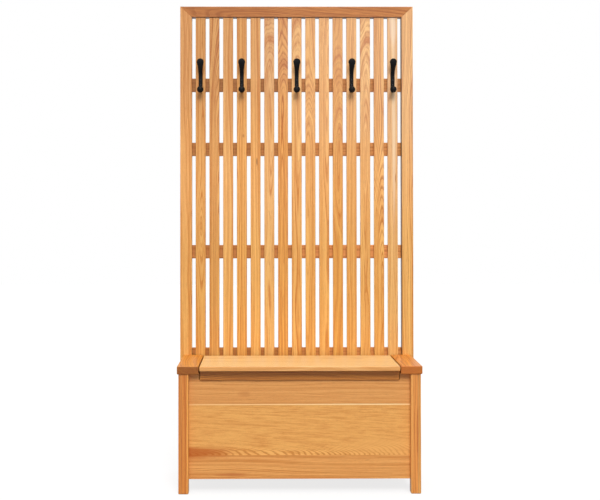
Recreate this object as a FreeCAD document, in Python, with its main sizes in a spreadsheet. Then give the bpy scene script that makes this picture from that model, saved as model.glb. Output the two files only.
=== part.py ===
import FreeCAD, Part
import math
import os
import re
import Sketcher

# A hall bench in oak: a tall slatted back frame with cast coat hooks, and a chest in front of it
# whose lid is the seat.  The front looks along -Y, +X is to the right and +Z is up.  The origin is
# on the floor, midway between the frame's sides and midway between the lid's front edge and the
# frame's back.

os.makedirs("parts", exist_ok=True)
doc = FreeCAD.newDocument("hall_bench")
Vector = FreeCAD.Vector
Rotation = FreeCAD.Rotation

# Driving dimensions, in millimetres
driving = {
    # back frame
    "frame_width": 1000.0,
    "frame_height": 2000.0,
    "frame_depth": 40.0,
    "stile_width": 50.0,
    "rail_height": 47.0,
    "frame_rounding": 2.5,
    "slat_width": 43.0,
    "slat_thickness": 18.0,
    "slat_recess": 4.0,
    "slat_foot_height": 30.0,
    "slat_housing": 10.0,
    "slat_rounding": 2.0,
    # battens behind the slats
    "batten_height": 57.5,
    "batten_housing": 30.0,
    "batten_rounding": 1.5,
    "lower_batten_level": 71.0,
    "seat_batten_lift": 32.0,
    "hook_batten_lift": 34.5,
    "hook_batten_gap": 277.0,
    "batten_screw_inset": 15.0,
    "batten_screw_spacing": 28.0,
    "batten_screw_bite": 17.0,
    # loose splines in the frame's mitres
    "spline_length": 34.0,
    "spline_breadth": 24.0,
    "spline_thickness": 6.0,
    # chest
    "chest_inset": 20.0,
    "chest_depth": 380.0,
    "seat_height": 505.0,
    "leg_width": 40.0,
    "leg_depth": 45.0,
    "leg_rounding": 3.0,
    "foot_corner_radius": 0.5,
    "panel_thickness": 20.0,
    "panel_lift": 55.0,
    "lower_stave_width": 94.0,
    "middle_stave_width": 202.0,
    "tongue_thickness": 6.0,
    "tongue_clearance": 1.0,
    "groove_end_room": 0.3,
    "floor_thickness": 15.0,
    "floor_room": 1.0,
    "cleat_size": 20.0,
    "cleat_lift": 2.0,
    "arm_notch_room": 1.0,
    "cut_overrun": 1.0,
    # arm boards
    "arm_width": 85.0,
    "arm_thickness": 32.0,
    "arm_overhang": 6.0,
    "arm_corner_rounding": 6.0,
    "arm_rounding": 3.5,
    # lid
    "lid_thickness": 18.0,
    "lid_overhang": 12.0,
    "lid_side_gap": 5.0,
    "lid_seat_gap": 0.3,
    "lid_rounding": 2.5,
    "apron_height": 40.0,
    "apron_thickness": 20.0,
    "apron_proud": 8.0,
    "apron_rounding": 2.0,
    "lid_batten_width": 60.0,
    "lid_batten_thickness": 18.0,
    "lid_batten_end_gap": 15.0,
    "lid_batten_rear_gap": 21.0,
    "lid_batten_inset": 136.0,
    "lid_screw_inset": 30.0,
    "lid_screw_bite": 12.0,
    # butt hinges
    "hinge_length": 60.0,
    "hinge_inset": 116.0,
    "leaf_reach": 22.0,
    "leaf_thickness": 2.0,
    "barrel_radius": 4.0,
    "barrel_setoff": 4.5,
    "pin_radius": 2.0,
    "pin_room": 0.05,
    "knuckle_gap": 0.2,
    "leaf_edge_gap": 0.8,
    "leaf_screw_spacing": 36.0,
    "leaf_screw_inset": 8.0,
    # dowels, bolts and their sleeves
    "dowel_radius": 4.0,
    "dowel_length": 40.0,
    "dowel_spacing": 18.0,
    "dowel_offset": 4.0,
    "apron_dowel_radius": 3.0,
    "apron_dowel_length": 34.0,
    "apron_dowel_sink": 10.0,
    "apron_dowel_inset": 66.0,
    "hole_end_room": 0.4,
    "hole_room": 0.05,
    "bolt_radius": 4.0,
    "bolt_head_radius": 6.5,
    "bolt_head_height": 8.0,
    "bolt_socket_radius": 3.0,
    "lower_bolt_rise": 59.0,
    "upper_bolt_drop": 45.0,
    "sleeve_radius": 6.0,
    "sleeve_length": 20.0,
    # wood screws
    "batten_screw_head_radius": 4.0,
    "batten_screw_radius": 2.0,
    "lid_screw_head_radius": 3.5,
    "lid_screw_radius": 1.75,
    "leaf_screw_head_radius": 3.2,
    "leaf_screw_radius": 1.6,
    "leaf_screw_length": 13.0,
    "hook_screw_head_radius": 3.6,
    "hook_screw_radius": 1.9,
    "hook_screw_bite": 12.0,
    "hook_screw_head_height": 2.4,
    "hook_screw_crown_radius": 1.6,
    "hook_screw_dome_radius": 4.0,
    # coat hooks
    "hook_plate_drop": 370.5,
    "hook_plate_height": 80.0,
    "hook_plate_thickness": 6.0,
    "hook_stem_width": 17.0,
    "hook_tip_length": 10.0,
    "hook_arm_reach": 32.0,
    "hook_arm_thickness": 8.5,
    "hook_root_radius": 30.0,
    "hook_crown_radius": 40.0,
    "hook_paddle_width": 30.0,
    "hook_flare_length": 46.5,
    "hook_front_rounding": 3.0,
    "hook_back_rounding": 2.0,
    "hook_ball_radius": 14.0,
    "hook_ball_reach": 32.0,
    "hook_ball_lift": 11.0,
    "hook_neck_radius": 5.2,
    "hook_neck_root_radius": 6.8,
    "hook_neck_waist_radius": 26.0,
    "hook_screw_lift": 32.0,
    "hook_screw_spacing": 22.0,
}
# Angles, in degrees
angles = {
    "hook_lean": 38.0,
}

# Counts and places in the pattern of slats
slat_count = 15
hook_slats = (1, 4, 8, 12, 15)
knuckle_count = 5

# Sizes worked out from the driving ones
worked_out = {
    "half_frame": "frame_width / 2",
    "inner_half": "half_frame - stile_width",
    "slat_gap": f"(2 * inner_half - {slat_count} * slat_width) / ({slat_count} + 1)",
    "slat_top": "frame_height - rail_height + slat_housing",
    "batten_thickness": "frame_depth - slat_recess - slat_thickness",
    "batten_half": "inner_half + batten_housing",
    "hook_plate_foot": "frame_height - hook_plate_drop",
    "seat_batten_level": "arm_underside + seat_batten_lift",
    "hook_batten_level": "hook_plate_foot + hook_batten_lift",
    "upper_batten_level": "hook_batten_level - hook_batten_gap",
    "middle_batten_level": "(seat_batten_level + upper_batten_level) / 2",
    "batten_screw_length": "batten_thickness + batten_screw_bite",
    "total_depth": "lid_overhang + chest_depth + frame_depth",
    "frame_face": "total_depth / 2 - frame_depth",
    "arm_front": "frame_face - chest_depth",
    "lid_front": "arm_front - lid_overhang",
    "leg_front": "arm_front + arm_overhang",
    "half_chest": "half_frame - chest_inset",
    "leg_inner": "half_chest - leg_width",
    "foot_chamfer": "leg_rounding - foot_corner_radius",
    "tongue_length": "(panel_thickness - tongue_thickness) / 2 - tongue_clearance",
    "front_panel_face": "leg_front + leg_depth - panel_thickness",
    "rear_leg_face": "frame_face - leg_depth",
    "arm_underside": "seat_height - arm_thickness",
    "arm_outer": "half_chest + arm_overhang",
    "arm_inner": "arm_outer - arm_width",
    "lid_half": "arm_inner - lid_side_gap",
    "lid_underside": "seat_height - lid_thickness",
    "lid_rear": "rear_leg_face + panel_thickness",
    "apron_front": "front_panel_face - apron_proud",
    "apron_dowel_spacing": "2 * (lid_half - apron_dowel_inset) / 3",
    "lid_batten_offset": "lid_half - lid_batten_inset",
    "lid_batten_front": "leg_front + leg_depth + lid_batten_end_gap",
    "lid_batten_rear": "rear_leg_face - lid_batten_rear_gap",
    "lid_screw_middle": "(lid_batten_front + lid_batten_rear) / 2",
    "lid_screw_spacing": "(lid_batten_rear - lid_batten_front) / 2 - lid_screw_inset",
    "lid_screw_length": "lid_batten_thickness + lid_screw_bite",
    "panel_top": "lid_underside - lid_seat_gap",
    "floor_level": "panel_lift + cleat_lift + cleat_size",
    "hinge_y": "lid_rear + barrel_setoff",
    "hinge_z": "lid_underside - lid_seat_gap / 2",
    "hinge_spacing": "lid_half - hinge_inset",
    "knuckle_length": f"hinge_length / {knuckle_count}",
    "bolt_x": "(inner_half + half_chest) / 2",
    "lower_bolt_level": "lower_batten_level + lower_bolt_rise",
    "upper_bolt_level": "arm_underside - upper_bolt_drop",
    "bolt_length": "frame_depth - bolt_head_height - hole_end_room + sleeve_length",
    "hook_face": "frame_face + slat_recess",
    "hook_screw_length": "hook_plate_thickness + slat_thickness + hook_screw_bite",
    "hook_arm_face": "hook_plate_thickness / 2 + hook_arm_reach + hook_arm_thickness / 2",
    "hook_root_level": "hook_plate_height - sqrt((hook_root_radius + hook_arm_thickness) ^ 2"
                       " - (hook_root_radius + hook_plate_thickness) ^ 2)",
    "hook_run": "(hook_arm_face - hook_plate_thickness"
                " - (hook_root_radius + hook_crown_radius) * (1 - cos(hook_lean))) / sin(hook_lean)",
    "hook_crown_level": "hook_root_level + (hook_root_radius + hook_crown_radius) * sin(hook_lean)"
                        " + hook_run * cos(hook_lean)",
    "hook_height": "hook_crown_level + hook_tip_length",
    "hook_paddle_level": "hook_height - hook_paddle_width / 2",
    "hook_flare_radius": "((hook_stem_width / 2) ^ 2 + hook_flare_length ^ 2"
                         " - (hook_paddle_width / 2) ^ 2) / (hook_paddle_width - hook_stem_width)",
}

sheet = doc.addObject("Spreadsheet::Sheet", "sizes")
cells = {name: str(size) for name, size in {**driving, **angles}.items()}
cells.update({name: "=" + formula for name, formula in worked_out.items()})
for row, (name, content) in enumerate(cells.items(), start=1):
    sheet.set(f"A{row}", name)
    sheet.set(f"B{row}", content)
    sheet.setAlias(f"B{row}", name)
doc.recompute()


def bound(formula):
    """A formula of size names, written as a reference to the sheet's cells."""
    def cell(match):
        word = match.group(0)
        return "sizes." + word if word in cells else word
    return re.sub(r"[a-z][a-z_0-9]*", cell, str(formula))


def value(formula):
    """What a formula of size names comes to now, in millimetres."""
    return float(sheet.evalExpression(bound(formula)))


def place(thing, x="0", y="0", z="0"):
    """Binds an object's place to the sheet."""
    for axis, formula in zip("xyz", (x, y, z)):
        thing.setExpression("Placement.Base." + axis, bound(formula))


def new_body(label, x="0", y="0", z="0"):
    body = doc.addObject("PartDesign::Body", label)
    body.Label = label
    place(body, x, y, z)
    return body


# Each origin plane's normal, as a sign along the axis that the plane leaves out
plane_normals = {"XY": 1, "XZ": -1, "YZ": 1}


def new_sketch(body, plane, level):
    """A sketch on one of the body's origin planes, moved to a level along the axis it leaves out."""
    sketch = body.newObject("Sketcher::SketchObject", body.Name + "_sketch")
    role = plane + "_Plane"
    support = [item for item in body.Origin.OriginFeatures if item.Role == role][0]
    sketch.AttachmentSupport = [(support, "")]
    sketch.MapMode = "FlatFace"
    sign = "-" if plane_normals[plane] < 0 else ""
    sketch.setExpression("AttachmentOffset.Base.z", bound(f"{sign}({level})"))
    return sketch


def fix_point(sketch, geometry, point, x, y):
    """Holds a point of the sketch at bound distances from its origin."""
    for kind, formula in (("DistanceX", x), ("DistanceY", y)):
        rule = Sketcher.Constraint(kind, -1, 1, geometry, point, value(formula))
        number = sketch.addConstraint(rule)
        sketch.setExpression(f"Constraints[{number}]", bound(formula))


def bulge(first, last, radius, side):
    """The middle of the arc between two points, bulging to the left (+1) or right (-1) of the way."""
    chord = last - first
    sagitta = radius - math.sqrt(radius ** 2 - (chord.Length / 2) ** 2)
    left = Vector(-chord.y, chord.x, 0).normalize()
    return (first + last) / 2 + left * side * sagitta


def draw_outline(sketch, points, arcs=None):
    """A closed outline, every corner bound to the sheet.

    arcs gives the radius and the side of the bulge for each leg that is an arc, by the number of
    the corner that it starts from.
    """
    arcs = arcs or {}
    corners = [Vector(value(x), value(y), 0) for x, y in points]
    legs = []
    for number, (first, last) in enumerate(zip(corners, corners[1:] + corners[:1])):
        if number in arcs:
            radius, side = arcs[number]
            legs.append(Part.Arc(first, bulge(first, last, value(radius), side), last))
        else:
            legs.append(Part.LineSegment(first, last))
    numbers = sketch.addGeometry(legs, False)
    starts = {}
    for number, corner in zip(numbers, corners):
        gaps = [(sketch.getPoint(number, end) - corner).Length for end in (1, 2)]
        starts[number] = 1 if gaps[0] < gaps[1] else 2
    for number, (x, y) in zip(numbers, points):
        fix_point(sketch, number, starts[number], x, y)
    for number, following in zip(numbers, numbers[1:] + numbers[:1]):
        joint = Sketcher.Constraint("Coincident", number, 3 - starts[number], following, starts[following])
        sketch.addConstraint(joint)
    for leg, (radius, side) in arcs.items():
        rule = sketch.addConstraint(Sketcher.Constraint("Radius", numbers[leg], value(radius)))
        sketch.setExpression(f"Constraints[{rule}]", bound(radius))


def draw_circle(sketch, x, y, radius):
    circle = Part.Circle(Vector(value(x), value(y), 0), Vector(0, 0, 1), value(radius))
    number = sketch.addGeometry(circle, False)
    fix_point(sketch, number, 3, x, y)
    rule = sketch.addConstraint(Sketcher.Constraint("Radius", number, value(radius)))
    sketch.setExpression(f"Constraints[{rule}]", bound(radius))


def rectangle(x0, y0, x1, y1):
    return ((x0, y0), (x1, y0), (x1, y1), (x0, y1))


def extrude(kind, body, plane, level, depth, direction, outlines=(), circles=(), arcs=None):
    """A Pad or a Pocket from one level, towards +1 or -1 along the axis that the plane leaves out.

    arcs belongs to the last outline.
    """
    sketch = new_sketch(body, plane, level)
    for points in outlines:
        draw_outline(sketch, points, arcs if points is outlines[-1] else None)
    for x, y, radius in circles:
        draw_circle(sketch, x, y, radius)
    feature = body.newObject("PartDesign::" + kind, body.Name + "_" + kind.lower())
    feature.Profile = sketch
    feature.setExpression("Length", bound(depth))
    natural = plane_normals[plane] if kind == "Pad" else -plane_normals[plane]
    feature.Reversed = natural != direction
    return feature


def pad(body, plane, level, depth, direction, **drawn):
    return extrude("Pad", body, plane, level, depth, direction, **drawn)


def pocket(body, plane, level, depth, direction, **drawn):
    """A Pocket that has to take something off the body."""
    doc.recompute()
    before = body.Shape.Volume
    feature = extrude("Pocket", body, plane, level, depth, direction, **drawn)
    doc.recompute()
    if not body.Shape.Volume < before:
        raise RuntimeError(f"a pocket of {body.Label} cuts nothing")
    return feature


def edges_along(axis, shape):
    """Names of the straight edges that run along an axis for more than half the shape's length."""
    box = shape.BoundBox
    reach = {"x": box.XLength, "y": box.YLength, "z": box.ZLength}[axis]
    names = []
    for number, edge in enumerate(shape.Edges, start=1):
        first, last = edge.Vertexes[0].Point, edge.Vertexes[-1].Point
        run = abs(getattr(last - first, axis))
        if edge.Curve.TypeId == "Part::GeomLine" and run > reach / 2 and run > 0.999 * edge.Length:
            names.append(f"Edge{number}")
    return names


def edges_where(test, shape):
    """Names of the edges whose middle point and shape pass a test."""
    return [f"Edge{number}" for number, edge in enumerate(shape.Edges, start=1) if test(edge)]


def dress(kind, body, names, size):
    """A Fillet or a Chamfer on the named edges of the body's last feature."""
    base = body.Tip
    feature = body.newObject("PartDesign::" + kind, body.Name + "_" + kind.lower())
    feature.Base = (base, names)
    feature.setExpression("Radius" if kind == "Fillet" else "Size", bound(size))
    doc.recompute()
    return feature


def round_along(body, axis, radius):
    doc.recompute()
    return dress("Fillet", body, edges_along(axis, body.Tip.Shape), radius)


def repeat(body, axis, reach, count):
    """Repeats all that the body holds, in a row from where it stands to the reach along an axis."""
    doc.recompute()
    before = len(body.Shape.Solids)
    pattern = body.newObject("PartDesign::LinearPattern", body.Name + "_row")
    pattern.TransformMode = "Whole shape"
    line = [item for item in body.Origin.OriginFeatures if item.Role == axis.upper() + "_Axis"][0]
    pattern.Direction = (line, [""])
    pattern.setExpression("Length", bound(reach))
    pattern.Occurrences = count
    body.Tip = pattern
    doc.recompute()
    if len(body.Shape.Solids) != before * count:
        raise RuntimeError(f"{body.Label} has {len(body.Shape.Solids)} solids")


def sink_holes(body, spots, head_radius, shank_radius):
    """Opens each screw hole to a 90 degree countersink where it meets the face it is driven from."""
    doc.recompute()

    def rim(edge):
        if edge.Curve.TypeId != "Part::GeomCircle":
            return False
        return any((edge.Curve.Center - spot).Length < value(shank_radius) for spot in spots)

    names = edges_where(rim, body.Tip.Shape)
    return dress("Chamfer", body, names, f"{head_radius} - {shank_radius}")


# Back frame: two stiles and a top rail, mitred at the corners
def mitre_slot(body, side):
    """The stopped slot for the loose spline, half in the stile and half in the rail."""
    doc.recompute()
    before = body.Shape.Volume
    sketch = new_sketch(body, "XZ", "frame_depth / 2")
    x = f"{side} * (half_frame - stile_width / 2)"
    sketch.setExpression("AttachmentOffset.Base.x", bound(x))
    sketch.setExpression("AttachmentOffset.Base.y", bound("frame_height - rail_height / 2"))
    sketch.AttachmentOffset = FreeCAD.Placement(sketch.AttachmentOffset.Base, Rotation(Vector(0, 0, 1), 0))
    turned = f"{side} * atan(rail_height / stile_width)"
    sketch.setExpression("AttachmentOffset.Rotation.Angle", bound(turned))
    reach = "spline_length / 2 + hole_end_room"
    half = "spline_breadth / 2 + hole_end_room"
    draw_outline(sketch, rectangle(f"-({reach})", f"-({half})", reach, half))
    feature = body.newObject("PartDesign::Pocket", body.Name + "_spline_slot")
    feature.Profile = sketch
    feature.SideType = "Symmetric"
    feature.setExpression("Length", bound("spline_thickness + 2 * hole_room"))
    doc.recompute()
    if not body.Shape.Volume < before:
        raise RuntimeError(f"the spline slot of {body.Label} cuts nothing")


batten_levels = {
    "lower_batten": "lower_batten_level",
    "seat_batten": "seat_batten_level",
    "middle_batten": "middle_batten_level",
    "upper_batten": "upper_batten_level",
    "hook_batten": "hook_batten_level",
}
bolt_levels = ("lower_bolt_level", "upper_bolt_level")


def make_stile(label, side):
    body = new_body(label, y="frame_face")
    outer, inner = f"{side} * half_frame", f"{side} * inner_half"
    shoulder = "frame_height - rail_height"
    outline = ((outer, "0"), (inner, "0"), (inner, shoulder), (outer, "frame_height"))
    pad(body, "XZ", "0", "frame_depth", 1, outlines=[outline])
    round_along(body, "z", "frame_rounding")
    far = f"{side} * batten_half"
    overrun = f"{side} * (inner_half - stile_width)"
    notches = [
        rectangle(far, f"{level} - batten_height / 2", overrun, f"{level} + batten_height / 2")
        for level in batten_levels.values()
    ]
    pocket(body, "XZ", "frame_depth", "batten_thickness", -1, outlines=notches)
    bolt = f"{side} * bolt_x"
    through = [(bolt, level, "bolt_radius + hole_room") for level in bolt_levels]
    pocket(body, "XZ", "frame_depth", "frame_depth", -1, circles=through)
    heads = [(bolt, level, "bolt_head_radius + hole_end_room") for level in bolt_levels]
    pocket(body, "XZ", "frame_depth", "bolt_head_height + hole_end_room", -1, circles=heads)
    pilots = [
        (f"{side} * (batten_half - batten_screw_inset)", f"{level} {sign} batten_screw_spacing / 2",
         "batten_screw_radius + hole_room")
        for level in batten_levels.values() for sign in "+-"
    ]
    pocket(body, "XZ", "frame_depth - batten_thickness",
           "batten_screw_length - batten_thickness + hole_end_room", -1, circles=pilots)
    mitre_slot(body, side)
    return body


def make_top_rail():
    body = new_body("top_rail", y="frame_face")
    shoulder = "frame_height - rail_height"
    outline = (("-half_frame", "frame_height"), ("-inner_half", shoulder),
               ("inner_half", shoulder), ("half_frame", "frame_height"))
    pad(body, "XZ", "0", "frame_depth", 1, outlines=[outline])
    round_along(body, "x", "frame_rounding")
    first = rectangle("-inner_half + slat_gap", "slat_recess", "-inner_half + slat_gap + slat_width",
                      "slat_recess + slat_thickness")
    housing = pocket(body, "XY", shoulder, "slat_housing", 1, outlines=[first])
    pattern = body.newObject("PartDesign::LinearPattern", "top_rail_housings")
    pattern.Originals = [housing]
    pattern.Direction = (housing.Profile[0], ["H_Axis"])
    pattern.setExpression("Length", bound(f"{slat_count - 1} * (slat_width + slat_gap)"))
    pattern.Occurrences = slat_count
    body.Tip = pattern
    mitre_slot(body, -1)
    mitre_slot(body, 1)
    return body


def make_slat(number):
    left = f"-inner_half + slat_gap + {number - 1} * (slat_width + slat_gap)"
    body = new_body(f"slat_{number:02d}", x=left, y="frame_face + slat_recess", z="slat_foot_height")
    section = rectangle("0", "0", "slat_width", "slat_thickness")
    pad(body, "XY", "0", "slat_top - slat_foot_height", 1, outlines=[section])
    round_along(body, "z", "slat_rounding")
    if number in hook_slats:
        screws = [("slat_width / 2", f"{height} - slat_foot_height", "hook_screw_radius + hole_room")
                  for height in hook_screw_heights]
        pocket(body, "XZ", "0", "slat_thickness", 1, circles=screws)
    return body


def slat_centre(number):
    return f"-inner_half + slat_gap + slat_width / 2 + {number - 1} * (slat_width + slat_gap)"


hook_screw_lifts = ("hook_screw_lift", "hook_screw_lift + hook_screw_spacing")
hook_screw_heights = [f"hook_plate_foot + {lift}" for lift in hook_screw_lifts]


def make_batten(label, level):
    body = new_body(label, y="hook_face + slat_thickness", z=f"{level} - batten_height / 2")
    front = rectangle("-batten_half", "0", "batten_half", "batten_height")
    pad(body, "XZ", "0", "batten_thickness", 1, outlines=[front])
    round_along(body, "x", "batten_rounding")
    spots = [
        (f"{side} * (batten_half - batten_screw_inset)", f"batten_height / 2 {sign} batten_screw_spacing / 2")
        for side in (-1, 1) for sign in "+-"
    ]
    holes = [(*spot, "batten_screw_radius + hole_room") for spot in spots]
    pocket(body, "XZ", "batten_thickness", "batten_thickness", -1, circles=holes)
    rims = [Vector(value(x), value("batten_thickness"), value(z)) for x, z in spots]
    sink_holes(body, rims, "batten_screw_head_radius", "batten_screw_radius")
    if label == "hook_batten":
        pilots = [
            (slat_centre(number), f"{height} - hook_batten_level + batten_height / 2",
             "hook_screw_radius + hole_room")
            for number in hook_slats for height in hook_screw_heights
        ]
        depth = "hook_screw_length - hook_plate_thickness - slat_thickness + hole_end_room"
        pocket(body, "XZ", "0", depth, 1, circles=pilots)
    return body


# Chest: four legs, panels tongued into them, a floor on cleats
def make_leg(label, side, inward):
    """inward is +1 for a front leg and -1 for a rear one: the way to the chest's inside along Y."""
    centre = "leg_front + leg_depth / 2" if inward > 0 else "frame_face - leg_depth / 2"
    body = new_body(label, x=f"{side} * (half_chest - leg_width / 2)", y=centre)
    section = rectangle("-leg_width / 2", "-leg_depth / 2", "leg_width / 2", "leg_depth / 2")
    pad(body, "XY", "0", "arm_underside", 1, outlines=[section])
    round_along(body, "z", "leg_rounding")
    foot = edges_where(lambda edge: edge.BoundBox.ZMax < value("hole_room"), body.Tip.Shape)
    dress("Chamfer", body, foot, "foot_chamfer")
    inner_x = f"{-side} * leg_width / 2"
    far_x = f"{-side} * (leg_width / 2 - tongue_length - groove_end_room)"
    over_x = f"{-side} * (leg_width / 2 + cut_overrun)"
    panel_y = f"{inward} * (leg_depth - panel_thickness) / 2"
    half = "(tongue_thickness / 2 + hole_room)"
    front_groove = rectangle(far_x, f"{panel_y} - {half}", over_x, f"{panel_y} + {half}")
    far_y = f"{inward} * (leg_depth / 2 - tongue_length - groove_end_room)"
    over_y = f"{inward} * (leg_depth / 2 + cut_overrun)"
    panel_x = f"{inner_x} + {side} * panel_thickness / 2"
    side_groove = rectangle(f"{panel_x} - {half}", far_y, f"{panel_x} + {half}", over_y)
    pocket(body, "XY", "arm_underside", "arm_underside - panel_lift", -1,
           outlines=[front_groove, side_groove])
    dowels = [
        (f"{side} * dowel_offset", f"{sign} dowel_spacing / 2", "dowel_radius + hole_room") for sign in "+-"
    ]
    pocket(body, "XY", "arm_underside", "dowel_length / 2 + hole_end_room", -1, circles=dowels)
    if inward < 0:
        bolt = f"{side} * (bolt_x - half_chest + leg_width / 2)"
        sleeves = [(bolt, level, "sleeve_radius + hole_room") for level in bolt_levels]
        pocket(body, "XZ", "leg_depth / 2", "sleeve_length + hole_end_room", -1, circles=sleeves)
    return body


def tongued_plan(half_length, across=False):
    """Plan outline of a panel board with a tongue on each end, about its own centre."""
    shoulder, tip = f"({half_length})", f"({half_length} + tongue_length)"
    thick, thin = "panel_thickness / 2", "tongue_thickness / 2"
    points = []
    for sx, sy in ((1, -1), (1, 1), (-1, 1), (-1, -1)):
        corner = [(f"{sx} * {shoulder}", f"{sy} * {thick}"), (f"{sx} * {shoulder}", f"{sy} * {thin}"),
                  (f"{sx} * {tip}", f"{sy} * {thin}")]
        points += corner if sx * sy < 0 else corner[::-1]
    return [(y, x) for x, y in points] if across else points


def notch_under_arms(body, bottom):
    """Cuts both top corners of a panel board away, so that the arm boards lie on it."""
    level = f"arm_underside - ({bottom})"
    over = "leg_inner + tongue_length + cut_overrun"
    start = "arm_inner - arm_notch_room"
    top = f"panel_top - ({bottom}) + cut_overrun"
    corners = [rectangle(f"{side} * ({start})", level, f"{side} * ({over})", top) for side in (-1, 1)]
    reach = "panel_thickness / 2 + cut_overrun"
    pocket(body, "XZ", f"-({reach})", f"2 * ({reach})", 1, outlines=corners)


def notch_for_apron(body, bottom):
    """Cuts the middle of a panel board's top edge away, where the lid's apron closes it."""
    half = "(arm_inner - arm_notch_room)"
    level = f"lid_underside - apron_height - lid_seat_gap - ({bottom})"
    top = f"panel_top - ({bottom}) + cut_overrun"
    reach = "panel_thickness / 2 + cut_overrun"
    pocket(body, "XZ", f"-({reach})", f"2 * ({reach})", 1, outlines=[rectangle(f"-{half}", level, half, top)])


stave_levels = (
    "panel_lift",
    "panel_lift + lower_stave_width",
    "panel_lift + lower_stave_width + middle_stave_width",
    "panel_top",
)


def make_front_panel():
    """Three boards glued edge to edge: one node of three solids."""
    staves = []
    for number, (bottom, top) in enumerate(zip(stave_levels, stave_levels[1:]), start=1):
        body = new_body(f"front_stave_{number}", y="front_panel_face + panel_thickness / 2", z=bottom)
        pad(body, "XY", "0", f"{top} - ({bottom})", 1, outlines=[tongued_plan("leg_inner")])
        staves.append(body)
    notch_under_arms(staves[-1], stave_levels[-2])
    notch_for_apron(staves[-1], stave_levels[-2])
    return join_as_node("front_panel", staves)


def join_as_node(label, pieces):
    """One node that holds several separate solids."""
    node = doc.addObject("Part::Compound", label)
    node.Links = pieces
    node.Label = label
    return node


def hinge_centres():
    return [f"{step} * hinge_spacing" for step in (-1, 0, 1)]


def leaf_recesses(y_shift, rear_edge):
    """Plan outlines of the hinges' recesses, open at the rear edge of the board that carries them."""
    half = "(hinge_length / 2 + hole_room)"
    front = f"hinge_y - leaf_reach - hole_room - ({y_shift})"
    return [rectangle(f"{x} - {half}", front, f"{x} + {half}", rear_edge) for x in hinge_centres()]


def leaf_screw_spots():
    """Places of the hinges' screws across and along the part."""
    y = "hinge_y - leaf_reach + leaf_screw_inset"
    return [(f"{x} {sign} leaf_screw_spacing / 2", y) for x in hinge_centres() for sign in "+-"]


def make_chest_back():
    middle = "rear_leg_face + panel_thickness / 2"
    body = new_body("chest_back", y=middle, z="panel_lift")
    pad(body, "XY", "0", "panel_top - panel_lift", 1, outlines=[tongued_plan("leg_inner")])
    notch_under_arms(body, "panel_lift")
    recesses = leaf_recesses(middle, "panel_thickness / 2 + cut_overrun")
    top = "panel_top - panel_lift"
    pocket(body, "XY", top, "leaf_thickness", -1, outlines=recesses)
    pilots = [(x, f"{y} - ({middle})", "leaf_screw_radius + hole_room") for x, y in leaf_screw_spots()]
    pocket(body, "XY", f"{top} - leaf_thickness", "leaf_screw_length - leaf_thickness + hole_end_room", -1,
           circles=pilots)
    return body


def make_side_panel(label, side):
    front_end, rear_end = "(leg_front + leg_depth)", "rear_leg_face"
    body = new_body(label, x=f"{side} * (leg_inner + panel_thickness / 2)",
                    y=f"({front_end} + {rear_end}) / 2", z="panel_lift")
    plan = tongued_plan(f"({rear_end} - {front_end}) / 2", across=True)
    pad(body, "XY", "0", "arm_underside - panel_lift", 1, outlines=[plan])
    return body


def make_floor():
    front = "front_panel_face + panel_thickness + floor_room"
    body = new_body("chest_floor", z="floor_level")
    half = "leg_inner - floor_room"
    plan = rectangle(f"-({half})", front, half, "rear_leg_face - floor_room")
    pad(body, "XY", "0", "floor_thickness", 1, outlines=[plan])
    return body


def make_block(name, x, y, z, length, width, height):
    block = doc.addObject("Part::Box", name)
    place(block, x, y, z)
    for side, formula in (("Length", length), ("Width", width), ("Height", height)):
        block.setExpression(side, bound(formula))
    return block


def make_cleats():
    inside_front = "front_panel_face + panel_thickness"
    bottom = "panel_lift + cleat_lift"
    long_side, depth = "2 * leg_inner", f"rear_leg_face - ({inside_front}) - 2 * cleat_size"
    cleats = [
        make_block("cleat_front", "-leg_inner", inside_front, bottom, long_side, "cleat_size", "cleat_size"),
        make_block("cleat_rear", "-leg_inner", "rear_leg_face - cleat_size", bottom, long_side, "cleat_size",
                   "cleat_size"),
        make_block("cleat_left", "-leg_inner", f"{inside_front} + cleat_size", bottom, "cleat_size", depth,
                   "cleat_size"),
        make_block("cleat_right", "leg_inner - cleat_size", f"{inside_front} + cleat_size", bottom,
                   "cleat_size", depth, "cleat_size"),
    ]
    return join_as_node("floor_cleats", cleats)


# Arm boards, dowelled onto the legs on each side of the lid
leg_centres = {"front": "leg_front + leg_depth / 2", "rear": "frame_face - leg_depth / 2"}


def make_arm(label, side):
    centre_x = f"{side} * (arm_inner + arm_outer) / 2"
    body = new_body(label, x=centre_x, z="arm_underside")
    plan = rectangle("-arm_width / 2", "arm_front", "arm_width / 2", "frame_face")
    pad(body, "XY", "0", "arm_thickness", 1, outlines=[plan])
    doc.recompute()

    def front_corner(edge):
        middle = edge.BoundBox.Center
        upright = edge.BoundBox.ZLength > value("arm_thickness / 2")
        return upright and middle.y < value("arm_front / 2") and middle.x * side > 0

    dress("Fillet", body, edges_where(front_corner, body.Tip.Shape), "arm_corner_rounding")

    def rim(edge):
        flat = edge.BoundBox.ZLength < value("hole_room")
        return flat and edge.BoundBox.YMin < value("frame_face - hole_room")

    dress("Fillet", body, edges_where(rim, body.Tip.Shape), "arm_rounding")
    dowel_x = f"{side} * (half_chest - leg_width / 2 + dowel_offset) - ({centre_x})"
    dowels = [
        (dowel_x, f"{middle} {sign} dowel_spacing / 2", "dowel_radius + hole_room")
        for middle in leg_centres.values() for sign in "+-"
    ]
    pocket(body, "XY", "0", "dowel_length / 2 + hole_end_room", 1, circles=dowels)
    return body


# Lid: a board with an apron under its front edge and two battens across its underside
apron_dowel_steps = (-1.5, -0.5, 0.5, 1.5)


def lid_screw_spots(side):
    return [(f"{side} * lid_batten_offset", f"lid_screw_middle + {step} * lid_screw_spacing")
            for step in (-1, 0, 1)]


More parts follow.
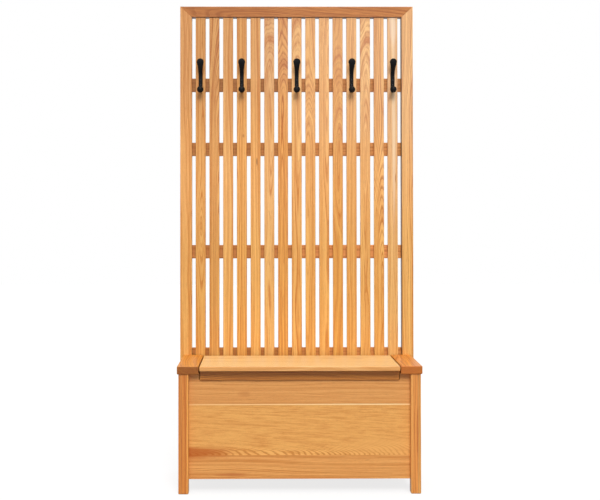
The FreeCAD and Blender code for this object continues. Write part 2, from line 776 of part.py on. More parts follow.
def make_lid_board():
    body = new_body("lid_board", z="lid_underside")
    plan = rectangle("-lid_half", "lid_front", "lid_half", "lid_rear")
    pad(body, "XY", "0", "lid_thickness", 1, outlines=[plan])
    doc.recompute()

    def rim(edge):
        flat = edge.BoundBox.ZLength < value("hole_room")
        rear = edge.BoundBox.YMin > value("lid_rear - hole_room")
        under = edge.BoundBox.ZMax < value("hole_room")
        return flat and not (rear and under)

    dress("Fillet", body, edges_where(rim, body.Tip.Shape), "lid_rounding")
    pocket(body, "XY", "0", "leaf_thickness", 1, outlines=leaf_recesses("0", "lid_rear + cut_overrun"))
    leaf_pilots = [(x, y, "leaf_screw_radius + hole_room") for x, y in leaf_screw_spots()]
    pocket(body, "XY", "leaf_thickness", "leaf_screw_length - leaf_thickness + hole_end_room", 1,
           circles=leaf_pilots)
    batten_pilots = [
        (*spot, "lid_screw_radius + hole_room") for side in (-1, 1) for spot in lid_screw_spots(side)
    ]
    pocket(body, "XY", "0", "lid_screw_length - lid_batten_thickness + hole_end_room", 1,
           circles=batten_pilots)
    dowels = [(f"{step} * apron_dowel_spacing", "apron_front + apron_thickness / 2",
               "apron_dowel_radius + hole_room")
              for step in apron_dowel_steps]
    pocket(body, "XY", "0", "apron_dowel_sink + hole_end_room", 1, circles=dowels)
    return body


def make_apron():
    body = new_body("lid_apron", y="apron_front", z="lid_underside - apron_height")
    plan = rectangle("-lid_half", "0", "lid_half", "apron_thickness")
    pad(body, "XY", "0", "apron_height", 1, outlines=[plan])
    doc.recompute()
    lower = edges_where(lambda edge: edge.BoundBox.ZMax < value("hole_room"), body.Tip.Shape)
    dress("Fillet", body, lower, "apron_rounding")
    dowels = [(f"{step} * apron_dowel_spacing", "apron_thickness / 2", "apron_dowel_radius + hole_room")
              for step in apron_dowel_steps]
    pocket(body, "XY", "apron_height", "apron_dowel_length - apron_dowel_sink + hole_end_room", -1,
           circles=dowels)
    return body


def make_lid_batten(label, side):
    centre = f"{side} * lid_batten_offset"
    body = new_body(label, x=centre, z="lid_underside - lid_batten_thickness")
    half = "lid_batten_width / 2"
    plan = rectangle(f"-{half}", "lid_batten_front", half, "lid_batten_rear")
    pad(body, "XY", "0", "lid_batten_thickness", 1, outlines=[plan])
    doc.recompute()
    lower = edges_where(lambda edge: edge.BoundBox.ZMax < value("hole_room"), body.Tip.Shape)
    dress("Fillet", body, lower, "batten_rounding")
    spots = [("0", y) for x, y in lid_screw_spots(side)]
    radius = "lid_screw_radius + hole_room"
    pocket(body, "XY", "0", "lid_batten_thickness", 1, circles=[(*spot, radius) for spot in spots])
    rims = [Vector(0, value(y), 0) for x, y in spots]
    sink_holes(body, rims, "lid_screw_head_radius", "lid_screw_radius")
    return body


# Butt hinges, drawn about the pin's middle; up is -1 for the leaf on the chest and +1 for the lid's
def make_leaves(label, up):
    body = new_body(label, x="-hinge_spacing", y="hinge_y", z="hinge_z")
    near, far = f"{up} * lid_seat_gap / 2", f"{up} * (lid_seat_gap / 2 + leaf_thickness)"
    edge = "-(barrel_radius + leaf_edge_gap)"
    plate = rectangle("-leaf_reach", near, edge, far)
    pad(body, "YZ", "-hinge_length / 2", "hinge_length", 1, outlines=[plate])
    first = 0 if up < 0 else 1
    for number in range(first, knuckle_count, 2):
        start = f"-hinge_length / 2 + {number} * knuckle_length + knuckle_gap / 2"
        width = "knuckle_length - knuckle_gap"
        web = rectangle(edge, near, "0", far)
        pad(body, "YZ", start, width, 1, outlines=[web])
        pad(body, "YZ", start, width, 1, circles=[("0", "0", "barrel_radius")])
    pocket(body, "YZ", "-hinge_length / 2", "hinge_length", 1, circles=[("0", "0", "pin_radius + pin_room")])
    spots = [(f"{sign} leaf_screw_spacing / 2", "-leaf_reach + leaf_screw_inset") for sign in "+-"]
    radius = "leaf_screw_radius + hole_room"
    pocket(body, "XY", near, "leaf_thickness", up, circles=[(*spot, radius) for spot in spots])
    rims = [Vector(value(x), value(y), value(near)) for x, y in spots]
    sink_holes(body, rims, "leaf_screw_head_radius", "leaf_screw_radius")
    repeat(body, "x", "2 * hinge_spacing", 3)


def make_pins():
    body = new_body("hinge_pins", x="-hinge_spacing", y="hinge_y", z="hinge_z")
    pad(body, "YZ", "-hinge_length / 2", "hinge_length", 1, circles=[("0", "0", "pin_radius")])
    repeat(body, "x", "2 * hinge_spacing", 3)


# Screws, bolts and dowels: one is made and the rest follow in rows
def turn(body, plane, points, arcs=None, shift="0", level="0"):
    """Revolves an outline of (radius, height) about the plane's upright axis."""
    sketch = new_sketch(body, plane, level)
    sketch.setExpression("AttachmentOffset.Base.x", bound(shift))
    draw_outline(sketch, points, arcs)
    feature = body.newObject("PartDesign::Revolution", body.Name + "_turned")
    feature.Profile = sketch
    feature.ReferenceAxis = (sketch, ["V_Axis"])
    feature.Angle = 360
    doc.recompute()


def countersunk_outline(kind, driven):
    """Outline of a countersunk screw of a kind, driven down (-1) or up (+1) the plane's upright axis."""
    head, shank, length = f"{kind}_screw_head_radius", f"{kind}_screw_radius", f"{kind}_screw_length"
    return (("0", "0"), (head, "0"), (shank, f"{driven} * ({head} - {shank})"),
            (shank, f"{driven} * ({length} - 2 * {shank})"), ("0", f"{driven} * {length}"))


def make_screws(label, kind, plane, driven, first, rows):
    body = new_body(label, *first)
    turn(body, plane, countersunk_outline(kind, driven))
    for axis, reach, count in rows:
        repeat(body, axis, reach, count)


def make_batten_screws(label, levels):
    """Two screws through each end of the battens at these levels, driven from the rear."""
    body = new_body(label, "-(batten_half - batten_screw_inset)", "frame_face + frame_depth",
                    "-batten_screw_spacing / 2")
    for level in levels:
        turn(body, "XY", countersunk_outline("batten", -1), level=level)
    repeat(body, "x", "2 * (batten_half - batten_screw_inset)", 2)
    repeat(body, "z", "batten_screw_spacing", 2)


def make_lid_screws():
    first = ("-lid_batten_offset", "lid_screw_middle - lid_screw_spacing",
             "lid_underside - lid_batten_thickness")
    rows = (("x", "2 * lid_batten_offset", 2), ("y", "2 * lid_screw_spacing", 3))
    make_screws("lid_batten_screws", "lid", "XZ", 1, first, rows)


def make_hinge_screws():
    x, y = "-hinge_spacing - leaf_screw_spacing / 2", "hinge_y - leaf_reach + leaf_screw_inset"
    rows = (("x", "leaf_screw_spacing", 2), ("x", "2 * hinge_spacing", 3))
    make_screws("hinge_chest_screws", "leaf", "XZ", -1, (x, y, "panel_top"), rows)
    make_screws("hinge_lid_screws", "leaf", "XZ", 1, (x, y, "lid_underside"), rows)


def make_bolts():
    seat = "frame_face + frame_depth - bolt_head_height - hole_end_room"
    bolts = new_body("frame_bolts", x="-bolt_x", y=seat, z="lower_bolt_level")
    turn(bolts, "XY", (("0", "bolt_head_height"), ("bolt_head_radius", "bolt_head_height"),
                       ("bolt_head_radius", "0"), ("bolt_radius", "0"), ("bolt_radius", "-bolt_length"),
                       ("0", "-bolt_length")))
    corners = [f"360 * {corner} / 6" for corner in range(6)]
    socket = [(f"bolt_socket_radius * cos({turned})", f"bolt_socket_radius * sin({turned})")
              for turned in corners]
    pocket(bolts, "XZ", "bolt_head_height", "bolt_head_height / 2", -1, outlines=[socket])
    sleeves = new_body("bolt_sleeves", x="-bolt_x", y="frame_face", z="lower_bolt_level")
    pad(sleeves, "XZ", "0", "sleeve_length", -1,
        circles=[("0", "0", "sleeve_radius"), ("0", "0", "bolt_radius + hole_room")])
    for body in (bolts, sleeves):
        repeat(body, "x", "2 * bolt_x", 2)
        repeat(body, "z", "upper_bolt_level - lower_bolt_level", 2)


def make_dowels():
    side = "half_chest - leg_width / 2 + dowel_offset"
    body = new_body("arm_dowels", x=f"-({side})", y=f"{leg_centres['front']} - dowel_spacing / 2",
                    z="arm_underside - dowel_length / 2")
    pad(body, "XY", "0", "dowel_length", 1, circles=[("0", "0", "dowel_radius")])
    repeat(body, "y", "dowel_spacing", 2)
    repeat(body, "y", f"{leg_centres['rear']} - ({leg_centres['front']})", 2)
    repeat(body, "x", f"2 * ({side})", 2)
    body = new_body("apron_dowels", x="-1.5 * apron_dowel_spacing",
                    y="apron_front + apron_thickness / 2",
                    z="lid_underside + apron_dowel_sink - apron_dowel_length")
    pad(body, "XY", "0", "apron_dowel_length", 1, circles=[("0", "0", "apron_dowel_radius")])
    repeat(body, "x", "3 * apron_dowel_spacing", 4)


def make_spline(label, side):
    """The loose tongue across a mitre, turned square to it."""
    body = new_body(label, y="frame_face + frame_depth / 2")
    body.setExpression("Placement.Base.x", bound(f"{side} * (half_frame - stile_width / 2)"))
    body.setExpression("Placement.Base.z", bound("frame_height - rail_height / 2"))
    body.Placement = FreeCAD.Placement(body.Placement.Base, Rotation(Vector(0, -1, 0), 0))
    body.setExpression("Placement.Rotation.Angle", bound(f"{side} * atan(rail_height / stile_width)"))
    face = rectangle("-spline_length / 2", "-spline_breadth / 2", "spline_length / 2", "spline_breadth / 2")
    pad(body, "XZ", "-spline_thickness / 2", "spline_thickness", 1, outlines=[face])
    return body


# Coat hooks: one casting with a back plate, an upper arm that ends in a paddle, and a ball on a
# neck below.  In the hook's own frame X is across, -Y is out from the slat and the plate's foot is
# at zero.  The arm is a bent strip: it leaves the plate, leans out and comes upright again.
def hook_side_view():
    """The strip from the side, as (Y, Z) corners, and its four bends."""
    lean_in, lean_out = "sin(hook_lean)", "cos(hook_lean)"
    root_front = ("hook_plate_thickness + hook_root_radius * (1 - cos(hook_lean))",
                  f"hook_root_level + hook_root_radius * {lean_in}")
    crown_front = (f"hook_arm_face - hook_crown_radius * (1 - {lean_out})",
                   f"hook_crown_level - hook_crown_radius * {lean_in}")
    crown_back, root_back = [
        (f"{out} - hook_arm_thickness * {lean_out}", f"{up} + hook_arm_thickness * {lean_in}")
        for out, up in (crown_front, root_front)
    ]
    corners = (
        ("0", "0"), ("hook_plate_thickness", "0"), ("hook_plate_thickness", "hook_root_level"), root_front,
        crown_front, ("hook_arm_face", "hook_crown_level"), ("hook_arm_face", "hook_height"),
        ("hook_arm_face - hook_arm_thickness", "hook_height"),
        ("hook_arm_face - hook_arm_thickness", "hook_crown_level"), crown_back, root_back,
        ("0", "hook_plate_height"),
    )
    inner, outer = "hook_root_radius", "hook_crown_radius"
    bends = {2: (inner, -1), 4: (outer, 1), 8: (f"{outer} - hook_arm_thickness", -1),
             10: (f"{inner} + hook_arm_thickness", 1)}
    return [(f"-({out})", up) for out, up in corners], bends


def hook_front_view():
    """The outline from the front: a round foot, a stem, a flare and a round paddle."""
    stem, paddle = "hook_stem_width / 2", "hook_paddle_width / 2"
    reach = f"({paddle}) / (hook_flare_radius + {paddle})"
    touch = (f"{reach} * ({stem} + hook_flare_radius)", f"hook_paddle_level - {reach} * hook_flare_length")
    right = ((stem, stem), (stem, "hook_paddle_level - hook_flare_length"), touch)
    left = [(f"-({x})", z) for x, z in reversed(right)]
    corners = [("0", "0"), *right, ("0", "hook_height"), *left]
    bends = {0: (stem, -1), 2: ("hook_flare_radius", 1), 3: (paddle, -1), 4: (paddle, -1),
             5: ("hook_flare_radius", 1), 7: (stem, -1)}
    return corners, bends


def add_ball(body):
    """The ball and its waisted neck, turned about an axis square to the plate."""
    sketch = new_sketch(body, "YZ", "0")
    sketch.setExpression("AttachmentOffset.Base.y", bound("hook_ball_lift"))
    neck, ball = "hook_neck_radius", "hook_ball_radius"
    joint = f"hook_ball_reach - sqrt({ball} ^ 2 - {neck} ^ 2)"
    root = "hook_neck_root_radius"
    corners = (("-hook_plate_thickness / 2", "0"), (f"-(hook_ball_reach + {ball})", "0"),
               (f"-({joint})", neck), ("-hook_plate_thickness", root), ("-hook_plate_thickness / 2", root))
    draw_outline(sketch, corners, {1: (ball, 1), 2: ("hook_neck_waist_radius", -1)})
    feature = body.newObject("PartDesign::Revolution", body.Name + "_ball")
    feature.Profile = sketch
    feature.ReferenceAxis = (sketch, ["H_Axis"])
    feature.Angle = 360
    doc.recompute()


def make_hook(label, slat_number):
    body = new_body(label, x=slat_centre(slat_number), y="hook_face", z="hook_plate_foot")
    side_view, side_bends = hook_side_view()
    half = "(hook_paddle_width / 2 + cut_overrun)"
    pad(body, "YZ", f"-{half}", f"2 * {half}", 1, outlines=[side_view], arcs=side_bends)
    front_view, front_bends = hook_front_view()
    wide = "(hook_paddle_width / 2 + 2 * cut_overrun)"
    block = rectangle(f"-{wide}", "-cut_overrun", wide, "hook_height + cut_overrun")
    pocket(body, "XZ", "cut_overrun", "hook_arm_face + 2 * cut_overrun", -1, outlines=[block, front_view],
           arcs=front_bends)

    doc.recompute()
    least = value("hole_room")

    def rim(edge):
        box = edge.BoundBox
        across = box.YLength < least and box.ZLength < least
        outward = box.XLength < least and box.ZLength < least
        return not (across or outward or box.YMin > -least)

    def behind(edge, strip):
        """Whether the strip's thickness lies in front of the edge."""
        middle = edge.valueAt((edge.FirstParameter + edge.LastParameter) / 2)
        return strip.isInside(middle - Vector(0, least, 0), least / 10, True)

    strip = body.Tip.Shape
    back = edges_where(lambda edge: rim(edge) and behind(edge, strip), strip)
    dress("Fillet", body, back, "hook_back_rounding")
    strip = body.Tip.Shape
    front = edges_where(lambda edge: rim(edge) and not behind(edge, strip), strip)
    dress("Fillet", body, front, "hook_front_rounding")
    add_ball(body)
    holes = [("0", lift, "hook_screw_radius + hole_room") for lift in hook_screw_lifts]
    pocket(body, "XZ", "-hook_plate_thickness", "hook_plate_thickness", 1, circles=holes)
    return body


def make_hook_screws():
    """Round-headed screws through the hooks' plates and the slats into the batten behind."""
    body = new_body("hook_screws", y="hook_face - hook_plate_thickness", z=hook_screw_heights[0])
    head, shank, length = "hook_screw_head_radius", "hook_screw_radius", "hook_screw_length"
    outline = (("0", "-hook_screw_head_height"), ("hook_screw_crown_radius", "-hook_screw_head_height"),
               (head, "0"), (shank, "0"), (shank, f"{length} - 2 * {shank}"), ("0", length))
    for number in hook_slats:
        turn(body, "XY", outline, {1: ("hook_screw_dome_radius", -1)}, shift=slat_centre(number))
    repeat(body, "z", "hook_screw_spacing", 2)


make_stile("stile_left", -1)
make_stile("stile_right", 1)
make_top_rail()
for slat_number in range(1, slat_count + 1):
    make_slat(slat_number)
for batten_label, batten_level in batten_levels.items():
    make_batten(batten_label, batten_level)
join_as_node("mitre_splines", [make_spline("mitre_spline_left", -1), make_spline("mitre_spline_right", 1)])
*low_levels, hook_level = batten_levels.values()
make_batten_screws("batten_screws", low_levels)
make_batten_screws("hook_batten_screws", [hook_level])

make_leg("leg_front_left", -1, 1)
make_leg("leg_front_right", 1, 1)
make_leg("leg_rear_left", -1, -1)
make_leg("leg_rear_right", 1, -1)
make_front_panel()
make_side_panel("side_panel_left", -1)
make_side_panel("side_panel_right", 1)
make_chest_back()
make_floor()
make_cleats()
make_arm("arm_left", -1)
make_arm("arm_right", 1)
make_dowels()
make_bolts()

make_lid_board()
make_apron()
make_lid_batten("lid_batten_left", -1)
make_lid_batten("lid_batten_right", 1)
make_lid_screws()
make_leaves("hinge_chest_leaves", -1)
make_leaves("hinge_lid_leaves", 1)
make_pins()
make_hinge_screws()

for order, slat_number in enumerate(hook_slats, start=1):
    make_hook(f"coat_hook_{order}", slat_number)
make_hook_screws()
doc.recompute()

# Every object has to be sound before anything is written
for item in doc.Objects:
    if "Invalid" in item.State or "Error" in item.State:
        raise RuntimeError(f"{item.Label} failed: {item.State}")
compounds = [item for item in doc.Objects if item.TypeId == "Part::Compound"]
inside = {piece.Name for node in compounds for piece in node.Links}
bodies = [item for item in doc.Objects if item.TypeId == "PartDesign::Body" and item.Name not in inside]
nodes = bodies + compounds
for node in nodes:
    if node.Shape.isNull() or not node.Shape.isValid():
        raise RuntimeError(f"{node.Label} has no sound shape")
for node in nodes:
    node.Shape.exportStep(os.path.join("parts", node.Label + ".step"))
print(len(nodes), "nodes written")
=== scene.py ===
# %% [markdown]
# # A hall bench in oak, dressed for its portrait
#
# The CAD model already holds every board, dowel and casting in its place, so this lesson builds no
# joinery. It gives each board its own piece of oak, turns the screws with their cross recesses, and
# lights the result like a product photograph. Lengths are in metres.

# %% Load the frame
import math
import bpy
import numpy as np
from mathutils import Euler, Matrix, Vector


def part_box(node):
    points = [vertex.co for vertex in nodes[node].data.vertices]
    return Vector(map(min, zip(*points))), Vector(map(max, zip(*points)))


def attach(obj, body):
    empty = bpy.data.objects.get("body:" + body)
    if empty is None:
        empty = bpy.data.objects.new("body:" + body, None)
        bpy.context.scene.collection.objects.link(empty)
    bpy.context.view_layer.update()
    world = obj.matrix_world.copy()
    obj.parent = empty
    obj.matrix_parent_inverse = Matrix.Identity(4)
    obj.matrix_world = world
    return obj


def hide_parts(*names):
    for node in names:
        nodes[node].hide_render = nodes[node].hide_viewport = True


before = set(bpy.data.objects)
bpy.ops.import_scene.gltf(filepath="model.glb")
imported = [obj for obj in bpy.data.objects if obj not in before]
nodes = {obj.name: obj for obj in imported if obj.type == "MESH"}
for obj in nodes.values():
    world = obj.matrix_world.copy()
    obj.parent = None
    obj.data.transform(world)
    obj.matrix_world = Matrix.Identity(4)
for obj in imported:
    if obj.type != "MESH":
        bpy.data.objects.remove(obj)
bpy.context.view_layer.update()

# %% [markdown]
# ## The camera
#
# The photograph was taken from just left of the middle, a little above half height, nearly square
# on. A camera that is tilted would make the tall frame narrow towards the top, and it doesn't, so
# the picture was shifted in the lens instead: the camera looks almost level, and the two shifts
# move the frame of the picture over the object.

# %% Camera
scene = bpy.context.scene
photo_width, photo_height = 600, 500
focal_pixels = 1139.8
optical_centre = (273.9, 204.1)
sensor = 36.0
pitch_up, yaw_right, roll = 0.0128, 0.0088, 0.0009

camera_data = bpy.data.cameras.new("photo_camera")
camera_data.sensor_width = sensor
camera_data.lens = focal_pixels * sensor / photo_width
camera_data.shift_x = (photo_width / 2 - optical_centre[0]) / photo_width
camera_data.shift_y = (optical_centre[1] - photo_height / 2) / photo_width
camera = bpy.data.objects.new("photo_camera", camera_data)
camera.location = (-0.1414, -4.7127, 1.088)
camera.rotation_euler = Euler((math.pi / 2 + pitch_up, roll, -yaw_right))
scene.collection.objects.link(camera)
scene.camera = camera
print("lens", round(camera_data.lens, 2), "shift", round(camera_data.shift_x, 4),
      round(camera_data.shift_y, 4))

# %% [markdown]
# ## Small helpers for shader nodes
#
# A shader is a small graph. These helpers add a node, set its values and join it to what came
# before, so that each effect below reads as a list of steps.


# %% Add and join nodes
def add_node(tree, kind, values=None, links=None, **settings):
    """Adds a node of a kind, with settings, socket values and links given by socket name or number."""
    made = tree.nodes.new(kind)
    for name, setting in settings.items():
        setattr(made, name, setting)
    for name, value in (values or {}).items():
        made.inputs[name].default_value = value
    for name, source in (links or {}).items():
        tree.links.new(source, made.inputs[name])
    return made


def fill(tree, sockets, parts):
    """Gives each socket its part: a link where the part is an output socket, a value where it isn't."""
    for socket, part in zip(sockets, parts):
        if isinstance(part, bpy.types.NodeSocket):
            tree.links.new(part, socket)
        else:
            socket.default_value = part


print("helpers made: add_node, fill")

# %% [markdown]
# ## Sums, blends and noise
#
# Most of a wood shader is arithmetic. Each helper here stands for one kind of node and gives its
# output socket, so that calls can be put inside each other like a formula.


# %% Arithmetic on sockets
def math_node(tree, operation, *parts, clamp=False):
    """A Math node; each part is a number or an output socket. Gives its output."""
    made = add_node(tree, "ShaderNodeMath", operation=operation, use_clamp=clamp)
    fill(tree, made.inputs, parts)
    return made.outputs[0]


def vector_node(tree, operation, *parts):
    """A Vector Math node; each part is a triple, a number for a scale, or an output socket."""
    made = add_node(tree, "ShaderNodeVectorMath", operation=operation)
    fill(tree, [made.inputs[0], made.inputs[3]] if operation == "SCALE" else made.inputs, parts)
    return made.outputs["Value" if operation in ("DOT_PRODUCT", "LENGTH") else "Vector"]


def blend_colours(tree, share, first, second, blend="MIX"):
    """A Mix node for colours; share is a number or a socket, the colours are tuples or sockets."""
    made = add_node(tree, "ShaderNodeMix", data_type="RGBA", blend_type=blend)
    fill(tree, [made.inputs[number] for number in (0, 6, 7)], (share, first, second))
    return made.outputs[2]


def step_between(tree, value, low, high, out_low=0.0, out_high=1.0):
    """A smooth step of a value from low to high."""
    made = add_node(tree, "ShaderNodeMapRange", interpolation_type="SMOOTHSTEP")
    fill(tree, [made.inputs[name] for name in ("Value", "From Min", "From Max", "To Min", "To Max")],
         (value, low, high, out_low, out_high))
    return made.outputs["Result"]


def noise(tree, vector, stretch, detail=2.0, roughness=0.5):
    """Noise whose grain is stretched: stretch gives cycles per metre along each axis."""
    scaled = vector_node(tree, "MULTIPLY", vector, stretch)
    made = add_node(tree, "ShaderNodeTexNoise",
                    {"Scale": 1.0, "Detail": detail, "Roughness": roughness}, {"Vector": scaled})
    return made.outputs["Fac"]


print("helpers made: math_node, vector_node, blend_colours, step_between, noise")

# %% [markdown]
# ## Colours and groups
#
# Colours are easiest to choose as they look on a screen, but a shader works with amounts of light,
# so one helper converts them. Another starts a node group, which is an effect built once and used
# in many materials, each with its own values.


# %% Colours and node groups
def linear(red, green, blue):
    """A colour written as 0 to 255 on screen, as the linear values that shaders use."""
    channels = np.array([red, green, blue]) / 255.0
    low, high = channels / 12.92, ((channels + 0.055) / 1.055) ** 2.4
    return (*np.where(channels <= 0.04045, low, high).tolist(), 1.0)


def start_group(name, inputs, outputs):
    """An empty node group with named sockets. Gives the group, its inputs and the sockets it puts out."""
    group = bpy.data.node_groups.new(name, "ShaderNodeTree")
    for label, (kind, default) in inputs.items():
        socket = group.interface.new_socket(label, in_out="INPUT", socket_type="NodeSocket" + kind)
        if default is not None:
            socket.default_value = default
    for label, kind in outputs.items():
        group.interface.new_socket(label, in_out="OUTPUT", socket_type="NodeSocket" + kind)
    return group, group.nodes.new("NodeGroupInput").outputs, group.nodes.new("NodeGroupOutput").inputs


def object_point(tree):
    """Where the surface is, in the model's own metres."""
    return add_node(tree, "ShaderNodeTexCoord").outputs["Object"]


print("a mid grey of 128 on screen is", round(linear(128, 128, 128)[0], 3), "of full light")

# %% [markdown]
# ## Oak
#
# A board is a slice of a log, and its figure is where the slice cuts the growth rings. So the
# shader keeps a whole log in mind: it measures how far each point is from the pith, turns that
# distance into rings, and lets the board's own faces cut them. A face that runs beside the pith
# shows arched flames, a face that points at it shows straight stripes, and an end shows arcs,
# with no drawing of any of them. An image of oak would be quicker, but it would repeat, and it
# would stop at the edges, where real grain goes round the corner.
#
# No log is straight. This one swerves once, where its Bend says so, and its pith wanders a little
# all the way along. Flames appear on a board's face where the log bends behind it.


# %% A log that bends and wanders
def inside_the_log(group, inside):
    """A point moved up the log by its part and aside by bend * tanh(height / reach), and then pushed by
    two noises, a slow one and a finer, weaker one. Gives the point before and after the noises."""
    height_up = add_node(group, "ShaderNodeSeparateXYZ", links={0: inside["Log point"]}).outputs["Z"]
    swerve = math_node(group, "TANH", math_node(group, "DIVIDE", height_up, inside["Bend reach"]))
    shift = add_node(group, "ShaderNodeCombineXYZ", links={
        "Y": math_node(group, "MULTIPLY", swerve, inside["Bend"]), "Z": inside["Log part"]}).outputs[0]
    point = vector_node(group, "ADD", inside["Log point"], shift)
    wandered, half = point, (0.5, 0.5, 0.5)
    for stretch, detail, strength in (((7.0, 7.0, 1.6), 1.0, 6.0), ((45.0, 45.0, 9.0), 2.0, 0.4)):
        cloud = add_node(group, "ShaderNodeTexNoise", {"Scale": 1.0, "Detail": detail},
                         {"Vector": vector_node(group, "MULTIPLY", point, stretch)}).outputs["Color"]
        push = vector_node(group, "SCALE", vector_node(group, "SUBTRACT", cloud, half),
                           math_node(group, "MULTIPLY", inside["Wander"], strength))
        wandered = vector_node(group, "ADD", wandered, push)
    return point, wandered


print("one reach above its bend a log has made", round(math.tanh(1.0), 2), "of its swerve")

# %% [markdown]
# ## Growth rings
#
# Each year adds a ring. It starts with porous early wood, which drinks the oil and shows as a deep
# line, and goes on with denser, paler late wood that darkens a little towards its end. Counting
# rings, not metres, makes every ring look alike, so good and bad years come in later as a change
# of tone from ring to ring.

# %% Growth rings
ring_width = 0.0044


def growth_rings(group, inside, point, wandered):
    """rings = distance from the pith / ring width + unevenness * noise, and its fraction tells early
    wood from late. Gives the rings, how early the wood is, and the tone of both kinds together."""
    unevenness, early_tone, late_tone = 3.0, 0.85, 0.2
    radius = vector_node(group, "LENGTH", vector_node(group, "MULTIPLY", wandered, (1.0, 1.0, 0.0)))
    rings = math_node(group, "DIVIDE", radius, inside["Ring width"])
    uneven = noise(group, point, (30.0, 30.0, 0.4), 1.0)
    rings = math_node(group, "ADD", rings, math_node(group, "MULTIPLY", uneven, unevenness))
    year = math_node(group, "FRACT", rings)
    early = math_node(group, "MULTIPLY", step_between(group, year, 0.0, 0.12),
                      step_between(group, year, 0.22, 0.62, 1.0, 0.0))
    late = step_between(group, year, 0.45, 0.98)
    band = math_node(group, "ADD", math_node(group, "MULTIPLY", early, early_tone),
                     math_node(group, "MULTIPLY", late, late_tone))
    return rings, early, band


print("a heart 60 mm behind a face is", round(0.06 / ring_width), "rings away")

# %% [markdown]
# ## The tone of the wood
#
# What is seen from further off is not one ring but the sum of several things: the rings, the good
# and bad years, long streaks and fine fibres. Each has a middle, and only its distance from that
# middle counts, so a board can have more of one without growing darker.

# %% The tone of the wood
middle_tone = 0.42


def wood_tone(group, inside, point, rings, band):
    """middle + sum of strength * (part - its own middle), kept between 0, pale, and 1, deep. Gives
    the tone and the fibres."""
    rings_to_seasons, fibre_strength = 0.42, 0.9
    seasons = add_node(group, "ShaderNodeTexNoise", {"Scale": 1.0, "Detail": 2.0, "Roughness": 0.6},
                       {"W": math_node(group, "MULTIPLY_ADD", rings, rings_to_seasons, inside["Years"])},
                       noise_dimensions="1D").outputs["Fac"]
    streak = noise(group, point, (100.0, 100.0, 0.8), 2.0, 0.7)
    fibre = noise(group, point, (420.0, 420.0, 9.0), 2.0, 0.6)
    tone = middle_tone
    for part, middle, share, strength in ((band, 0.35, "Contrast", 1.1), (seasons, 0.5, "Figure", 3.0),
                                          (streak, 0.5, "Streaks", 2.4)):
        swing = math_node(group, "MULTIPLY", math_node(group, "SUBTRACT", part, middle),
                          math_node(group, "MULTIPLY", inside[share], strength))
        tone = math_node(group, "ADD", tone, swing)
    swing = math_node(group, "MULTIPLY", math_node(group, "SUBTRACT", fibre, 0.5), fibre_strength)
    return math_node(group, "ADD", tone, swing, clamp=True), fibre


print("a board's tone rests at", middle_tone, "on the way from pale to deep")

# %% [markdown]
# ## The oak grain group
#
# The group joins these steps, and adds the pores, which are short dark dashes and thickest in the
# early wood, and the end grain, which drinks the oil and goes dark. It puts out colour, roughness
# and height, and each material feeds them to its own shader.


# %% The oak grain group
def make_oak_group():
    """Colour, roughness and height of oak at a point given in the log's frame (Z along the log)."""
    group, inside, out = start_group("oak_grain", {
        "Log point": ("Vector", None),
        "End": ("Float", 0.0),
        "Pale": ("Color", linear(244, 180, 100)),
        "Deep": ("Color", linear(208, 126, 50)),
        "Ring width": ("Float", ring_width),
        "Wander": ("Float", 0.006),
        "Contrast": ("Float", 0.7),
        "Figure": ("Float", 0.6),
        "Streaks": ("Float", 0.6),
        "Years": ("Float", 0.0),
        "Log part": ("Float", 0.0),
        "Bend": ("Float", 0.0),
        "Bend reach": ("Float", 0.2),
    }, {"Color": "Color", "Roughness": "Float", "Height": "Float"})
    pore_brown, pore_depth = linear(128, 76, 36), 0.45
    end_brown, end_depth = linear(132, 66, 24), 0.72
    point, wandered = inside_the_log(group, inside)
    rings, early, band = growth_rings(group, inside, point, wandered)
    tone, fibre = wood_tone(group, inside, point, rings, band)
    wood = blend_colours(group, tone, inside["Pale"], inside["Deep"])

    pore_noise = noise(group, point, (1500.0, 1500.0, 55.0), 1.0)
    pores = math_node(group, "MULTIPLY", step_between(group, pore_noise, 0.56, 0.68),
                      math_node(group, "ADD", math_node(group, "MULTIPLY", early, 0.75), 0.25))
    wood = blend_colours(group, math_node(group, "MULTIPLY", pores, pore_depth), wood, pore_brown)
    wood = blend_colours(group, math_node(group, "MULTIPLY", inside["End"], end_depth), wood, end_brown)

    rough = math_node(group, "ADD", math_node(group, "MULTIPLY", fibre, 0.12),
                      math_node(group, "MULTIPLY", pores, 0.2))
    rough = math_node(group, "ADD", rough, math_node(group, "MULTIPLY", inside["End"], 0.15))
    height = math_node(group, "SUBTRACT", math_node(group, "MULTIPLY", fibre, 0.15), pores)
    fill(group, [out[name] for name in ("Color", "Roughness", "Height")],
         (wood, math_node(group, "ADD", rough, 0.34), height))
    return group


oak_group = make_oak_group()
print("oak group:", len(oak_group.nodes), "nodes")

# %% [markdown]
# ## Patches
#
# Real boards also have accidents that no log model gives: a stripe of sapwood, a knot, a reddish
# cloud. One group makes a soft, ragged mask around any point, and each board places the few that
# it needs. A patch mixes in a tone, or multiplies or adds one, and the grain goes on underneath.


# %% The patch and end grain groups
def make_patch_group():
    """1 at the centre of an ellipsoid, 0 outside it: a smooth step of the distance from its centre,
    measured in its own half-lengths and made ragged by noise."""
    group, inside, out = start_group("soft_patch", {
        "Centre": ("Vector", None), "Reach": ("Vector", (1.0, 1.0, 1.0)), "Ragged": ("Float", 0.5),
    }, {"Mask": "Float"})
    away = vector_node(group, "SUBTRACT", object_point(group), inside["Centre"])
    shrunk = vector_node(group, "DIVIDE", away, inside["Reach"])
    rough_edge = math_node(group, "SUBTRACT", noise(group, shrunk, (2.3, 2.3, 2.3), 3.0), 0.5)
    distance = math_node(group, "MULTIPLY_ADD", rough_edge, inside["Ragged"],
                         vector_node(group, "LENGTH", shrunk))
    fill(group, [out["Mask"]], [step_between(group, distance, 0.35, 1.0, 1.0, 0.0)])
    return group


